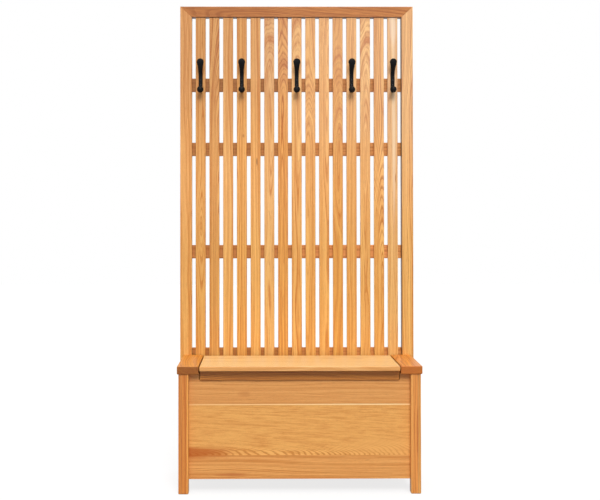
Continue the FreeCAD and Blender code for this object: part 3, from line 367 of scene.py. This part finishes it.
def make_end_group():
    """1 where the surface is end grain: where its own normal runs along the grain."""
    group, inside, out = start_group("end_grain", {"Axis": ("Vector", (0.0, 0.0, 1.0))}, {"End": "Float"})
    normal = add_node(group, "ShaderNodeTexCoord").outputs["Normal"]
    facing = math_node(group, "ABSOLUTE", vector_node(group, "DOT_PRODUCT", normal, inside["Axis"]))
    fill(group, [out["End"]], [step_between(group, facing, 0.6, 0.95)])
    return group


patch_group = make_patch_group()
end_group = make_end_group()
print("groups so far:", sorted(group.name for group in bpy.data.node_groups))

# %% [markdown]
# ## One log for each board
#
# A Mapping node of type Texture carries points of the room into the log: its Location is where
# the pith passes and its Rotation is how the log lies. Each board gets its own log, a few
# centimetres from its middle and turned by a degree or so, and no two boards match. A panel that
# is glued up from several staves gets a log for each, and changes log where the glue line is.

# %% One stave cut from its log
rng = np.random.default_rng(15)
grain_turn = {"Z": Euler((0, 0, 0)), "X": Euler((0, math.pi / 2, 0)), "Y": Euler((-math.pi / 2, 0, 0))}
grain_axis = {"X": (1.0, 0.0, 0.0), "Y": (0.0, 1.0, 0.0), "Z": (0.0, 0.0, 1.0)}


def oak_cut(tree, grain, end, place, pith=(0.02, 0.08), tilt=(0.4, 0.3), along=0.0, **looks):
    """The oak group for one stave. place is a point of it, pith how far the log's heart lies from that
    point across the grain, tilt the log's lean in degrees, along how far up the log its bend is."""
    lean = Euler((math.radians(tilt[0]), math.radians(tilt[1]), 0)).to_matrix()
    turn = grain_turn[grain].to_matrix() @ lean
    heart = Vector(place) + turn @ Vector((pith[0], pith[1], along))
    log = add_node(tree, "ShaderNodeMapping", {"Location": heart, "Rotation": turn.to_euler()},
                   {"Vector": object_point(tree)}, vector_type="TEXTURE")
    made = add_node(tree, "ShaderNodeGroup", node_tree=oak_group)
    fill(tree, [made.inputs["Log point"], made.inputs["End"]], [log.outputs["Vector"], end])
    for name, value in looks.items():
        made.inputs[name.replace("_", " ")].default_value = value
    return made.outputs


print("grain can run along", sorted(grain_turn))

# %% [markdown]
# ## A finish for a board
#
# A material adds up its staves, its patches and a tint, and gives the result to one Principled
# shader. The pores reach the Normal through a Bump node, because they are too fine and too shallow
# for geometry.

# %% Oak materials
no_tint = (1.0, 1.0, 1.0, 1.0)
pore_strength, pore_deep = 0.35, 0.0003


def new_material(name):
    """A new material. Gives it, its node tree and its Principled shader."""
    material = bpy.data.materials.new(name)
    material.use_nodes = True
    return material, material.node_tree, material.node_tree.nodes["Principled BSDF"]


def oak(name, grain, staves, seams=(), across="Z", tint=no_tint, patches=()):
    """A material for one board, or for staves glued side by side with seams at places along an axis.
    Each patch is a centre, a reach, a tone, a strength and, where it isn't a plain mix, a blend."""
    material, tree, shader = new_material(name)
    ends = add_node(tree, "ShaderNodeGroup", node_tree=end_group)
    ends.inputs["Axis"].default_value = grain_axis[grain]
    cuts = [oak_cut(tree, grain, ends.outputs["End"], **stave) for stave in staves]
    wood = {label: cuts[0][label] for label in ("Color", "Roughness", "Height")}
    if seams:
        place = add_node(tree, "ShaderNodeSeparateXYZ", links={0: object_point(tree)}).outputs[across]
    for seam, cut in zip(seams, cuts[1:]):
        past = math_node(tree, "GREATER_THAN", place, seam)
        wood = {label: blend_colours(tree, past, wood[label], cut[label]) for label in wood}
    colour = wood["Color"]
    for centre, reach, tone, strength, *blend in patches:
        patch = add_node(tree, "ShaderNodeGroup", node_tree=patch_group)
        patch.inputs["Centre"].default_value = centre
        patch.inputs["Reach"].default_value = reach
        share = math_node(tree, "MULTIPLY", patch.outputs["Mask"], strength)
        colour = blend_colours(tree, share, colour, tone, *blend)
    tinted = blend_colours(tree, 1.0, colour, tint, blend="MULTIPLY")
    bump = add_node(tree, "ShaderNodeBump", {"Strength": pore_strength, "Distance": pore_deep},
                    {"Height": wood["Height"]})
    fill(tree, [shader.inputs[label] for label in ("Base Color", "Roughness", "Normal")],
         (tinted, wood["Roughness"], bump.outputs["Normal"]))
    shader.inputs["Specular IOR Level"].default_value = 0.4
    shader.inputs["IOR"].default_value = 1.5
    return material


print("pores are at most", pore_deep * 1000, "mm deep")

# %% [markdown]
# ## Logs by chance
#
# Most boards need no choice of their own: a seeded random generator draws where the log's heart
# was, how it leaned and which years it saw. The seed makes every run give the same bench. What the
# photograph shows more exactly is passed as a choice and wins over the draw.


# %% Logs by chance
def dress_node(name, material):
    """Gives a CAD node its finish."""
    for slot in nodes[name].material_slots:
        slot.material = material


def random_log(name, **choices):
    """A log for a board: its heart 4 to 13 cm away, nearly parallel to it, unless choices say more."""
    low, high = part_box(name)
    settings = dict(
        place=(low + high) / 2,
        pith=(rng.choice([-1, 1]) * rng.uniform(0.04, 0.09),
              rng.choice([-1, 1]) * rng.uniform(0.02, 0.09)),
        tilt=(rng.uniform(-0.7, 0.7), rng.uniform(-0.5, 0.5)),
        Log_part=rng.uniform(-40.0, 40.0),
        Years=rng.uniform(0.0, 90.0),
    )
    settings.update(choices)
    return settings


def dress_board(name, grain, tint=no_tint, patches=(), **choices):
    """A log and a finish for one board of its own node."""
    dress_node(name, oak(name + "_oak", grain, [random_log(name, **choices)], tint=tint, patches=patches))


print("CAD nodes to dress:", len(nodes))

# %% [markdown]
# ## The slats
#
# Fifteen slats from different boards: some are plain, and the others come from logs that swerve,
# so their faces show flames at different heights. Three wide patches are painted light over slats
# and stiles: painted shade at the top left, a painted pale sheen at the top right and painted warm
# bounce light towards the foot. There is also a stripe of sapwood on the last slat, and three small
# flecks and knots.

# %% Painted light that follows the height
# Each patch: its centre, reach, tone, strength and blend.
# Painted light, not wood: shade at the top left, a pale sheen at the top right, warm bounce light at the
# foot.
painted_shade_top_left = ((-0.50, 0.19, 2.05), (0.75, 4.0, 0.80), (0.82, 0.79, 0.84, 1.0), 1.0, "MULTIPLY")
painted_sheen_top_right = ((0.50, 0.19, 2.00), (0.80, 4.0, 1.00), (0.0, 0.045, 0.070, 1.0), 1.0, "ADD")
painted_bounce_foot = ((0.0, 0.19, 0.45), (4.0, 4.0, 0.85), (0.89, 0.92, 0.77, 1.0), 1.0, "MULTIPLY")
painted_light_tones = [painted_shade_top_left, painted_sheen_top_right, painted_bounce_foot]
print("wide tones over slats and stiles:", len(painted_light_tones))

# %% Logs that swerve
slat_low, slat_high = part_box("slat_08")


def flame(height, across=0.0, bend=0.016, reach=0.16, behind=0.0, **looks):
    """A log that swerves at a height: its heart lies on the slat's face there, or some way behind it.
    The further behind, the broader the flames, and a bend below 0 makes them point upwards."""
    settings = dict(pith=(across, (slat_low.y - slat_high.y) / 2 + behind),
                    along=height - (slat_low.z + slat_high.z) / 2,
                    tilt=(0.25, 0.1), Bend=bend, Bend_reach=reach,
                    Ring_width=0.0036, Contrast=0.75, Wander=0.005)
    settings.update(looks)
    return settings


print("slats are", round(slat_high.z - slat_low.z, 3), "m long and",
      round(1000 * (slat_high.y - slat_low.y), 1), "mm thick")

# %% Slats
# Each flame: its height, its place across the slat, its bend and reach, and how far it is behind.
slat_looks = {
    1: flame(1.05, 0.004, 0.012, 0.10, Pale=linear(236, 174, 98)),
    2: flame(1.72, 0.018, -0.022, 0.30, 0.030, Contrast=0.65,
             Pale=linear(240, 178, 102), Deep=linear(194, 114, 48)),
    3: dict(Pale=linear(250, 192, 118)),
    5: dict(Pale=linear(250, 190, 114)),
    6: flame(1.84, 0.004, -0.026, 0.16, 0.038, Wander=0.007, Contrast=0.45,
             Pale=linear(244, 187, 119), Deep=linear(208, 128, 60)),
    7: flame(1.78, 0.0, -0.032, 0.20, 0.042, Wander=0.008, Contrast=0.7,
             Pale=linear(243, 174, 92), Deep=linear(196, 110, 38)),
    8: flame(1.90, 0.005, -0.024, 0.18, 0.040, Contrast=0.45, Pale=linear(251, 193, 118)),
    9: flame(1.58, -0.012, -0.024, 0.16, 0.04, Contrast=0.5,
             Pale=linear(248, 186, 108), Deep=linear(214, 134, 60)),
    10: flame(1.88, 0.015, Pale=linear(252, 190, 114), Deep=linear(216, 138, 64)),
    11: flame(1.64, 0.006, -0.034, 0.30, 0.045, Wander=0.010, Contrast=0.4, Pale=linear(238, 172, 90)),
    12: dict(Pale=linear(246, 184, 108)),
    13: flame(1.82, 0.0, -0.030, 0.20, 0.045, Wander=0.008, Contrast=0.42, Pale=linear(252, 194, 120)),
    14: flame(1.10, 0.012, -0.030, 0.30, 0.022, Pale=linear(250, 188, 110), Contrast=0.95),
    15: dict(Pale=linear(246, 192, 126), Deep=linear(212, 138, 70)),
}
# The fleck on slat 4, the knot on slat 5, and on slat 15 two pieces of sapwood and a small knot.
slat_patches = {
    4: [((-0.229, 0.18, 1.444), (0.006, 0.01, 0.010), linear(176, 104, 50), 0.6)],
    5: [((-0.171, 0.18, 1.333), (0.003, 0.01, 0.022), linear(110, 62, 30), 0.9)],
    15: [((0.418, 0.19, 1.48), (0.012, 0.03, 0.62), linear(252, 224, 186), 0.6),
         ((0.414, 0.19, 1.93), (0.022, 0.03, 0.16), linear(255, 236, 214), 0.5),
         ((0.425, 0.18, 1.262), (0.003, 0.01, 0.028), linear(170, 100, 48), 0.8)],
}
for number in range(1, 16):
    dress_board(f"slat_{number:02d}", "Z", patches=painted_light_tones + slat_patches.get(number, []),
                **slat_looks.get(number, {}))
print("slats with flames or a tone of their own:", sorted(slat_looks))

# %% [markdown]
# ## Stiles, rail and battens
#
# The stiles are straight-grained. The rail across the top and the battens behind the slats were
# cut from redder, browner boards, and the rail's grain runs out at a slant. Two thin lines of painted
# shade darken the right stile's inner face and the rail's underside, which stand in shadow.

# %% Stiles, rail and battens
# Painted shade: the colour and thickness of the two lines on faces in shadow.
painted_shade_brown, painted_shade_reach = linear(92, 48, 22), 0.0035
dress_board("stile_left", "Z", patches=painted_light_tones, Figure=0.45, Pale=linear(248, 186, 112))
stile_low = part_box("stile_right")[0]
# Painted shade on the right stile's inner face.
painted_shade_stile_inner = ((stile_low.x, 0.2, 1.2), (painted_shade_reach, 0.5, 3.0), painted_shade_brown, 0.85)
dress_board("stile_right", "Z", patches=painted_light_tones + [painted_shade_stile_inner], Figure=0.5, Streaks=0.6,
            Pale=linear(248, 190, 116))
rail_low, rail_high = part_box("top_rail")
rail_left = ((-0.50, rail_low.y, rail_high.z), (0.65, 0.5, 0.2), linear(162, 92, 26), 0.55)
# Painted shade on the rail's underside.
painted_shade_rail_underside = ((0.0, 0.2, rail_low.z), (2.0, 0.5, painted_shade_reach), painted_shade_brown, 0.85)
dress_board("top_rail", "X", pith=(0.05, 0.03), tilt=(3.0, 7.0), Figure=0.6, Contrast=0.9,
            patches=[rail_left, painted_shade_rail_underside], Pale=linear(208, 134, 68), Deep=linear(154, 84, 32))
batten_tints = {"lower": no_tint, "seat": linear(244, 243, 218), "middle": linear(255, 255, 236),
                "upper": linear(242, 247, 222), "hook": linear(221, 223, 202)}
for position, tint in batten_tints.items():
    name = position + "_batten"
    low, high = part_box(name)
    darker_end = ((-0.5, high.y, (low.z + high.z) / 2), (0.85, 1.0, 0.4), linear(148, 86, 18), 0.5)
    dress_board(name, "X", patches=[darker_end], tint=tint, Figure=0.6,
                Pale=linear(232, 160, 98), Deep=linear(190, 116, 60))
print("dressed: stiles, rail and", len(batten_tints), "battens")

# %% [markdown]
# ## The chest
#
# The front is three staves glued edge to edge. The middle one lies askew to its log, so its lines
# run out at a slant along the lower seam, where a dark reddish wedge starts from the left. A thin
# pale line along the upper seam is a painted highlight, where the seam's chamfer catches the light.
# The posts are three staves each: a narrow lamination outside, a broad one in the middle, and a
# pale strip inside that is a painted highlight, where the rounded inner edge catches the light.

# %% Front panel
lower_seam, upper_seam = 0.149, 0.351
panel_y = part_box("front_panel")[0].y
panel_staves = [
    random_log("front_panel", place=(0.0, panel_y, 0.10), pith=(0.10, 0.04), tilt=(0.5, 0.7),
               Figure=0.45, Wander=0.008,
               Pale=linear(235, 170, 96), Deep=linear(200, 122, 52)),
    random_log("front_panel", place=(0.0, panel_y, 0.25), pith=(0.098, -0.058), tilt=(5.6, 0.25),
               Figure=0.35, Wander=0.004, Streaks=1.0, Ring_width=0.0025, Contrast=1.3,
               Pale=linear(240, 178, 98), Deep=linear(208, 134, 60)),
    random_log("front_panel", place=(0.0, panel_y, 0.41), pith=(0.17, 0.03), tilt=(0.3, 0.25),
               Figure=0.3, Streaks=0.3, Contrast=0.9,
               Pale=linear(234, 170, 98), Deep=linear(200, 124, 56)),
]
# The dark wedge, a calm area on the right, two flecks, and a painted highlight along the upper seam.
panel_patches = [
    ((-0.46, panel_y, 0.160), (0.27, 0.05, 0.030), linear(182, 88, 10), 0.85),
    ((0.38, panel_y, 0.180), (0.30, 0.05, 0.045), linear(233, 168, 92), 0.6),
    ((-0.27, panel_y, 0.071), (0.085, 0.05, 0.010), linear(182, 98, 44), 0.55),
    ((-0.22, panel_y, 0.392), (0.035, 0.05, 0.014), linear(190, 116, 56), 0.4),
    # Painted highlight: the upper seam's chamfer catching the light, as two pale lines.
    ((0.25, panel_y, 0.3495), (0.55, 0.05, 0.0034), linear(255, 222, 164), 0.9),
    ((-0.25, panel_y, 0.3495), (0.40, 0.05, 0.0030), linear(255, 214, 152), 0.7),
]
dress_node("front_panel", oak("front_panel_oak", "X", panel_staves, seams=(lower_seam, upper_seam),
                              patches=panel_patches))
print("front panel:", len(panel_staves), "staves,", len(panel_patches), "patches")

# %% Posts of the chest
post_tints = {"left": linear(241, 223, 180), "right": linear(247, 236, 206)}
# Where the glue line lies, and where the painted highlight along the inner edge starts, from outside.
glue_share, painted_highlight_share = 0.27, 0.8
for name in ("leg_front_left", "leg_front_right", "leg_rear_left", "leg_rear_right"):
    side = name.rsplit("_", 1)[1]
    low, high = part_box(name)
    outer, inner = (low.x, high.x) if side == "left" else (high.x, low.x)
    glue_line = outer + glue_share * (inner - outer)
    painted_highlight_line = outer + painted_highlight_share * (inner - outer)
    orange = dict(Pale=linear(236, 164, 96), Deep=linear(196, 112, 50), Figure=0.6)
    outside = dict(orange)
    if side == "right":
        outside.update(Pale=linear(242, 184, 112), Deep=linear(206, 134, 64))
    # The third stave is a painted highlight: a pale strip along the inner edge, where the rounded edge
    # catches the light.
    staves = [random_log(name, **outside), random_log(name, **orange),
              random_log(name, Pale=linear(250, 186, 116), Deep=linear(220, 146, 78))]
    seams = (glue_line, painted_highlight_line)
    if side == "right":
        staves, seams = staves[::-1], seams[::-1]
    hairline = ((glue_line, low.y, 0.25), (0.0022, 0.2, 0.9), linear(196, 150, 112), 0.6)
    dress_node(name, oak(name + "_oak", "Z", staves, seams=seams, across="X", tint=post_tints[side],
                         patches=[hairline]))
# The second share printed is where the painted highlight starts.
print("posts: glue lines at", glue_share, "and", painted_highlight_share, "of their width, from outside")

# %% [markdown]
# ## Arm boards, lid and the rest of the chest
#
# The arm boards run from front to back, so their dark end grain faces the viewer, a little paler
# at the right arm's inner corner. The lid is the palest board of all, with painted shade on a strip
# along the foot of its front edge, and its apron below is brown again.

# %% Arm boards and lid
dress_board("arm_left", "Y", Figure=0.8, Pale=linear(244, 172, 88), Deep=linear(206, 126, 52),
            tint=linear(227, 214, 144))
arm_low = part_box("arm_right")[0]
pale_end = ((arm_low.x + 0.04, arm_low.y, arm_low.z + 0.01), (0.10, 0.008, 0.10), linear(230, 138, 72), 0.55)
dress_board("arm_right", "Y", patches=[pale_end], Figure=0.9, Pale=linear(246, 172, 88),
            Deep=linear(202, 116, 46), tint=linear(229, 214, 150))
lid_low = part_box("lid_board")[0]
# Painted shade: a darker strip along the foot of the lid's front edge.
painted_shade_lid_front = ((0.0, lid_low.y, lid_low.z + 0.007), (2.0, 0.006, 0.03), linear(226, 154, 84), 0.6)
dress_board("lid_board", "X", patches=[painted_shade_lid_front], pith=(0.05, 0.09), Figure=1.3, Contrast=1.2, Streaks=1.5,
            Pale=linear(241, 200, 134), Deep=linear(209, 154, 84))
dress_board("lid_apron", "X", pith=(0.05, 0.02), tilt=(1.5, 2.5), Figure=0.35, Contrast=1.2,
            Pale=linear(202, 129, 50), Deep=linear(154, 86, 26))
for name in ("lid_batten_left", "lid_batten_right"):
    dress_board(name, "Y", Pale=linear(236, 180, 116))
print("dressed: arms, lid, apron and the lid's battens")

# %% Sides, back and floor of the chest
for name in ("side_panel_left", "side_panel_right"):
    dress_board(name, "Y", pith=(0.02, 0.05), tilt=(0.6, 0.6), Figure=0.8)
dress_board("chest_back", "X", pith=(0.06, 0.05), tilt=(0.5, 0.4), Figure=0.8)
dress_board("chest_floor", "Y", Pale=linear(238, 192, 136), Deep=linear(214, 154, 94))
dress_board("floor_cleats", "X")
for name in ("mitre_splines", "arm_dowels", "apron_dowels"):
    dress_board(name, "Z", Contrast=0.15, Figure=0.2,
                Pale=linear(232, 190, 140), Deep=linear(206, 158, 106))
print("oak materials:", sum(made.name.endswith("_oak") for made in bpy.data.materials))

# %% [markdown]
# ## Metal
#
# The hooks are cast and powder-coated black: a soft, slightly pebbled skin with small highlights.
# The hinges and their screws are satin brass, the hooks' screws are blackened, and all other
# screws and the bolts are zinc-plated steel. One group gives all of them their clouds and their
# grit, with different sizes and strengths.


# %% The metal skin group
def make_skin_group():
    """Colour and height of a metal skin: slow clouds between two colours, and fine grit for the bump."""
    group, inside, out = start_group("metal_skin", {
        "Dark": ("Color", None), "Light": ("Color", None),
        "Rough": ("Float", 0.4), "Grit": ("Float", 900.0),
    }, {"Color": "Color", "Roughness": "Float", "Height": "Float"})
    where = object_point(group)
    cloud = noise(group, where, (40.0, 40.0, 40.0), 3.0)
    grit = add_node(group, "ShaderNodeTexNoise", {"Detail": 2.0}, {"Vector": where, "Scale": inside["Grit"]})
    rough = math_node(group, "MULTIPLY_ADD", cloud, 0.2, math_node(group, "SUBTRACT", inside["Rough"], 0.1))
    fill(group, [out[name] for name in ("Color", "Roughness", "Height")],
         (blend_colours(group, cloud, inside["Dark"], inside["Light"]), rough, grit.outputs["Fac"]))
    return group


skin_group = make_skin_group()
print("skin group:", len(skin_group.nodes), "nodes")


# %% Metal finishes
def metal(name, dark, light, rough, metallic, specular=0.5, grit=900.0, bump_strength=0.1):
    """A metal or a coat of paint on it: two near colours, and grit in cycles per metre."""
    material, tree, shader = new_material(name)
    skin = add_node(tree, "ShaderNodeGroup", node_tree=skin_group)
    fill(tree, [skin.inputs[label] for label in ("Dark", "Light", "Rough", "Grit")],
         (dark, light, rough, grit))
    bump = add_node(tree, "ShaderNodeBump", {"Strength": bump_strength, "Distance": 0.0004},
                    {"Height": skin.outputs["Height"]})
    fill(tree, [shader.inputs[label] for label in ("Base Color", "Roughness", "Normal")],
         (skin.outputs["Color"], skin.outputs["Roughness"], bump.outputs["Normal"]))
    shader.inputs["Metallic"].default_value = metallic
    shader.inputs["Specular IOR Level"].default_value = specular
    return material


hook_iron = metal("hook_iron_black", linear(9, 9, 10), linear(19, 19, 21), rough=0.4, metallic=0.0,
                  specular=0.1, grit=700.0, bump_strength=0.2)
black_steel = metal("black_screw_steel", linear(18, 18, 20), linear(34, 34, 37), rough=0.36,
                    metallic=0.0, specular=0.3)
brass = metal("hinge_brass_satin", linear(176, 138, 74), linear(222, 186, 112), rough=0.3, metallic=1.0)
zinc = metal("zinc_steel_plated", linear(150, 152, 154), linear(198, 200, 202), rough=0.32, metallic=1.0)
for number in range(1, 6):
    dress_node(f"coat_hook_{number}", hook_iron)
for name in ("hinge_chest_leaves", "hinge_lid_leaves", "hinge_pins"):
    dress_node(name, brass)
for name in ("frame_bolts", "bolt_sleeves"):
    dress_node(name, zinc)
print("metals:", [made.name for made in (hook_iron, black_steel, brass, zinc)])

# %% [markdown]
# ## Screws
#
# The CAD screws are turned shapes with plain heads, and a plain head reads as a dowel. A screw is
# a profile carried round its own axis, so it is a grid of profile points by angles, and the cross
# recess is a dip in the head's height along two lines. The places are read from the CAD node:
# its points fall into clumps, one for each screw.


# %% The profile of a screw
head_rows, rim = 6, 0.0006


def screw_profile(head, shank, length, crown):
    """Radius and height of each row of points, from the head's middle to the tip, and the height of
    the recess's middle. The row at a share s of the head's radius is crown * (1 - s^2) high. A flat
    head narrows below in a cone of 45 degrees, and a round one stands on a thin rim."""
    share = np.linspace(0.0, 1.0, head_rows + 1)[1:]
    radius = np.concatenate([share * head, [shank, shank, shank * 0.25]])
    dome = crown * (1.0 - share ** 2)
    top, under = (dome + rim, 0.0) if crown > 0.0 else (dome, shank - head)
    height = np.concatenate([top, [under, -0.8 * length, -length]])
    return radius, height, top[0] + dome[0] * 0.1 - head * 0.62


print("rows of a screw:", len(screw_profile(1.0, 0.5, 5.0, 0.0)[0]))


# %% A screw's grid with its cross recess
def cross_recess(x, y, r, head):
    """How far a point of the head is lowered: depth * exp(-(w / slot)^2) * (1 - r / slot end), where w
    is its distance from the nearer of the two slots."""
    slot, slot_end, depth = head * 0.16, head * 0.62, head * 0.7
    bell = np.exp(-(np.minimum(abs(x), abs(y)) / slot) ** 2)
    return depth * bell * np.clip(1.0 - r / slot_end, 0.0, 1.0)


def screw_grid(head, shank, length, crown, sides=24):
    """One screw along Z, its head at the top: profile rows by angles, each point (r cos a, r sin a, h),
    and a fan of triangles at both ends. Gives the points and the faces."""
    radius, height, recess_middle = screw_profile(head, shank, length, crown)
    r, a = np.meshgrid(radius, np.arange(sides) * 2.0 * np.pi / sides, indexing="ij")
    x, y = r * np.cos(a), r * np.sin(a)
    h = np.repeat(height[:, None], sides, axis=1)
    h[:head_rows] -= cross_recess(x, y, r, head)[:head_rows]
    ends = [[0.0, 0.0, recess_middle], [0.0, 0.0, -length]]
    points = np.concatenate([np.stack([x, y, h], axis=-1).reshape(-1, 3), ends])
    ring = np.arange(sides)
    after = (ring + 1) % sides
    row = np.arange(len(radius) - 1)[:, None] * sides
    quads = np.stack([row + ring, row + sides + ring, row + sides + after, row + after], axis=-1)
    top, foot, last = len(points) - 2, len(points) - 1, (len(radius) - 1) * sides
    top_fan = np.stack([np.full(sides, top), ring, after], axis=-1)
    foot_fan = np.stack([np.full(sides, foot), last + after, last + ring], axis=-1)
    return points, quads.reshape(-1, 4).tolist() + top_fan.tolist() + foot_fan.tolist()


print("faces of a screw:", len(screw_grid(1.0, 0.5, 5.0, 0.0)[1]))


# %% Where the screws are
def screw_places(name, axis, apart=0.004):
    """Where a node's screws are: across the axis its points fall into clumps that lie apart, and each
    clump's wide end is the head. Gives the middle of each head's outer face, and which way it faces."""
    mesh = nodes[name].data
    points = np.empty(len(mesh.vertices) * 3, dtype=np.float32)
    mesh.vertices.foreach_get("co", points)
    points = points.reshape(-1, 3)
    labels = np.zeros(len(points), dtype=int)
    for side in (k for k in range(3) if k != axis):
        order = np.argsort(points[:, side])
        jumps = np.diff(points[order, side]) > apart
        clump = np.empty(len(points), dtype=int)
        clump[order] = np.concatenate([[0], np.cumsum(jumps)])
        labels = labels * 1000 + clump
    found = []
    for label in np.unique(labels):
        one = points[labels == label]
        low, high = one.min(axis=0), one.max(axis=0)
        centre = (low + high) / 2
        spread = np.linalg.norm(np.delete(one - centre, axis, axis=1), axis=1)
        facing = 1.0 if one[spread.argmax(), axis] > centre[axis] else -1.0
        centre[axis] = high[axis] if facing > 0 else low[axis]
        found.append((centre, facing))
    return found


print("hook screws at", [tuple(round(float(v), 3) for v in place)
                         for place, _ in screw_places("hook_screws", 1)])

# %% [markdown]
# ## One piece for each kind of screw
#
# Each new piece takes the place of one CAD node and rides on the same body. The grid is turned and
# moved to each place, so all screws of a kind are one mesh, and the round heads of the hooks'
# screws are sunk to the height of the CAD ones.


# %% One mesh from many screws
def facing_matrix(axis, facing):
    """Turns Z to face along an axis, without a mirror: three unit columns in a cyclic order."""
    turn = np.zeros((3, 3))
    turn[(axis + 1) % 3, 0] = facing
    turn[(axis + 2) % 3, 1] = 1.0
    turn[axis, 2] = facing
    return turn


def replace_screws(node, axis, body, slot, material, head, shank, length, crown=0.0):
    """One piece with every screw of a node: the same grid, turned and moved to each place."""
    points, faces = screw_grid(head, shank, length, crown)
    places = screw_places(node, axis)
    moved, all_faces = [], []
    for number, (centre, facing) in enumerate(places):
        sunk = centre.copy()
        sunk[axis] -= facing * (crown + rim if crown > 0.0 else 0.0)
        moved.append(points @ facing_matrix(axis, facing).T + sunk)
        all_faces += [[corner + number * len(points) for corner in face] for face in faces]
    mesh = bpy.data.meshes.new(node + "_fine")
    mesh.from_pydata(np.concatenate(moved).tolist(), [], all_faces)
    mesh.materials.append(material)
    mesh.shade_smooth()
    piece = bpy.data.objects.new(node + "_fine", mesh)
    scene.collection.objects.link(piece)
    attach(piece, body)
    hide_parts(node)
    print(node, "->", len(places), "screws,", len(all_faces), "faces")


print("Z turned to face backwards is", facing_matrix(1, 1.0)[:, 2].tolist())

# %% Screws in their places
depth_axis, height_axis = 1, 2
long_screw = dict(head=0.0040, shank=0.0020, length=0.035)
lid_screw = dict(head=0.0035, shank=0.00175, length=0.030)
hinge_screw = dict(head=0.0032, shank=0.0016, length=0.013)
hook_screw = dict(head=0.0036, shank=0.0019, length=0.034, crown=0.0018)
replace_screws("batten_screws", depth_axis, "stand", "zinc_steel", zinc, **long_screw)
replace_screws("hook_batten_screws", depth_axis, "stand", "zinc_steel", zinc, **long_screw)
replace_screws("lid_batten_screws", height_axis, "lid", "zinc_steel", zinc, **lid_screw)
replace_screws("hinge_chest_screws", height_axis, "stand", "brass_screws", brass, **hinge_screw)
replace_screws("hinge_lid_screws", height_axis, "lid", "brass_screws", brass, **hinge_screw)
replace_screws("hook_screws", depth_axis, "stand", "black_screws", black_steel, **hook_screw)

# %% [markdown]
# ## A pale floor
#
# A studio floor runs into a white wall. The floor here returns little light to the bench, so the
# undersides of rail and battens stay dark as they are in the photograph, but the camera and
# reflections see it as pale, through a Light Path node that adds a glow for those rays alone.


# %% Floor
def seen_directly(tree):
    """1 for the rays of the camera, of reflections and of glass, 0 for the light that reaches the wood."""
    path = add_node(tree, "ShaderNodeLightPath").outputs
    shiny = math_node(tree, "MAXIMUM", path["Is Glossy Ray"], path["Is Transmission Ray"])
    return math_node(tree, "MAXIMUM", path["Is Camera Ray"], shiny)


reach, floor_grey, floor_glow, white = 14.0, (0.2, 0.2, 0.2, 1.0), 0.79, (1.0, 1.0, 1.0, 1.0)
floor_mesh = bpy.data.meshes.new("floor")
floor_mesh.from_pydata([(-reach, -reach, 0), (reach, -reach, 0), (reach, reach, 0), (-reach, reach, 0)], [],
                       [(0, 1, 2, 3)])
floor = bpy.data.objects.new("floor", floor_mesh)
scene.collection.objects.link(floor)
material, tree, shader = new_material("pale_floor")
shader.inputs["Base Color"].default_value = floor_grey
shader.inputs["Roughness"].default_value = 0.9
shader.inputs["Specular IOR Level"].default_value = 0.0
shader.inputs["Emission Color"].default_value = white
glow = math_node(tree, "MULTIPLY", seen_directly(tree), floor_glow)
fill(tree, [shader.inputs["Emission Strength"]], [glow])
floor_mesh.materials.append(material)
print("floor:", 2 * reach, "m square")

# %% [markdown]
# ## A white room
#
# The room is white to the camera and to reflections. As a light it is weak in front, so that the
# lamps model the boards, and stronger behind and to the sides, where no lamp stands: the bench is
# looked at from all round.

# %% World
world = bpy.data.worlds.new("white_room")
scene.world = world
world.use_nodes = True
tree = world.node_tree
background = tree.nodes["Background"]
background.inputs["Color"].default_value = white
front_light, side_light, behind_light = 0.14, 0.4, 0.75
generated = add_node(tree, "ShaderNodeTexCoord").outputs["Generated"]
direction = add_node(tree, "ShaderNodeSeparateXYZ", links={0: generated}).outputs
from_behind = step_between(tree, direction["Y"], 0.1, 0.95, 0.0, behind_light)
from_side = step_between(tree, math_node(tree, "ABSOLUTE", direction["X"]), 0.6, 1.0, 0.0, side_light)
room_light = math_node(tree, "ADD", math_node(tree, "ADD", from_behind, from_side), front_light)
seen = seen_directly(tree)
unseen = math_node(tree, "MULTIPLY", math_node(tree, "SUBTRACT", 1.0, seen), room_light)
tree.links.new(math_node(tree, "ADD", unseen, seen), background.inputs["Strength"])
print("room light:", front_light, "in front, up to", round(front_light + behind_light, 2), "behind")

# %% [markdown]
# ## Three lamps
#
# The seat is a little brighter than the slats, and the lid's overhang throws a deep shadow: the
# main light is a softbox high in front, slightly to the right. A second, low and wide, lifts the
# fronts, and a third, straight above, lights the seat and the arm boards. A sun lamp with a wide
# angle is a softbox that is too far away to fall off.


# %% Lamps
def lamp(name, azimuth, elevation, spread, strength):
    """A far, wide softbox: azimuth is to the right of straight ahead, spread is how wide it looks."""
    data = bpy.data.lights.new(name, "SUN")
    data.angle = math.radians(spread)
    data.energy = strength
    made = bpy.data.objects.new(name, data)
    made.rotation_euler = Euler((math.radians(90 - elevation), 0, math.radians(azimuth)))
    scene.collection.objects.link(made)


lamp("key", azimuth=6.0, elevation=42.0, spread=26.0, strength=2.4)
lamp("fill", azimuth=-14.0, elevation=12.0, spread=60.0, strength=0.6)
lamp("overhead", azimuth=0.0, elevation=84.0, spread=40.0, strength=1.2)
scene.view_settings.view_transform = "Standard"
print("lamps:", sorted(light.name for light in bpy.data.lights))
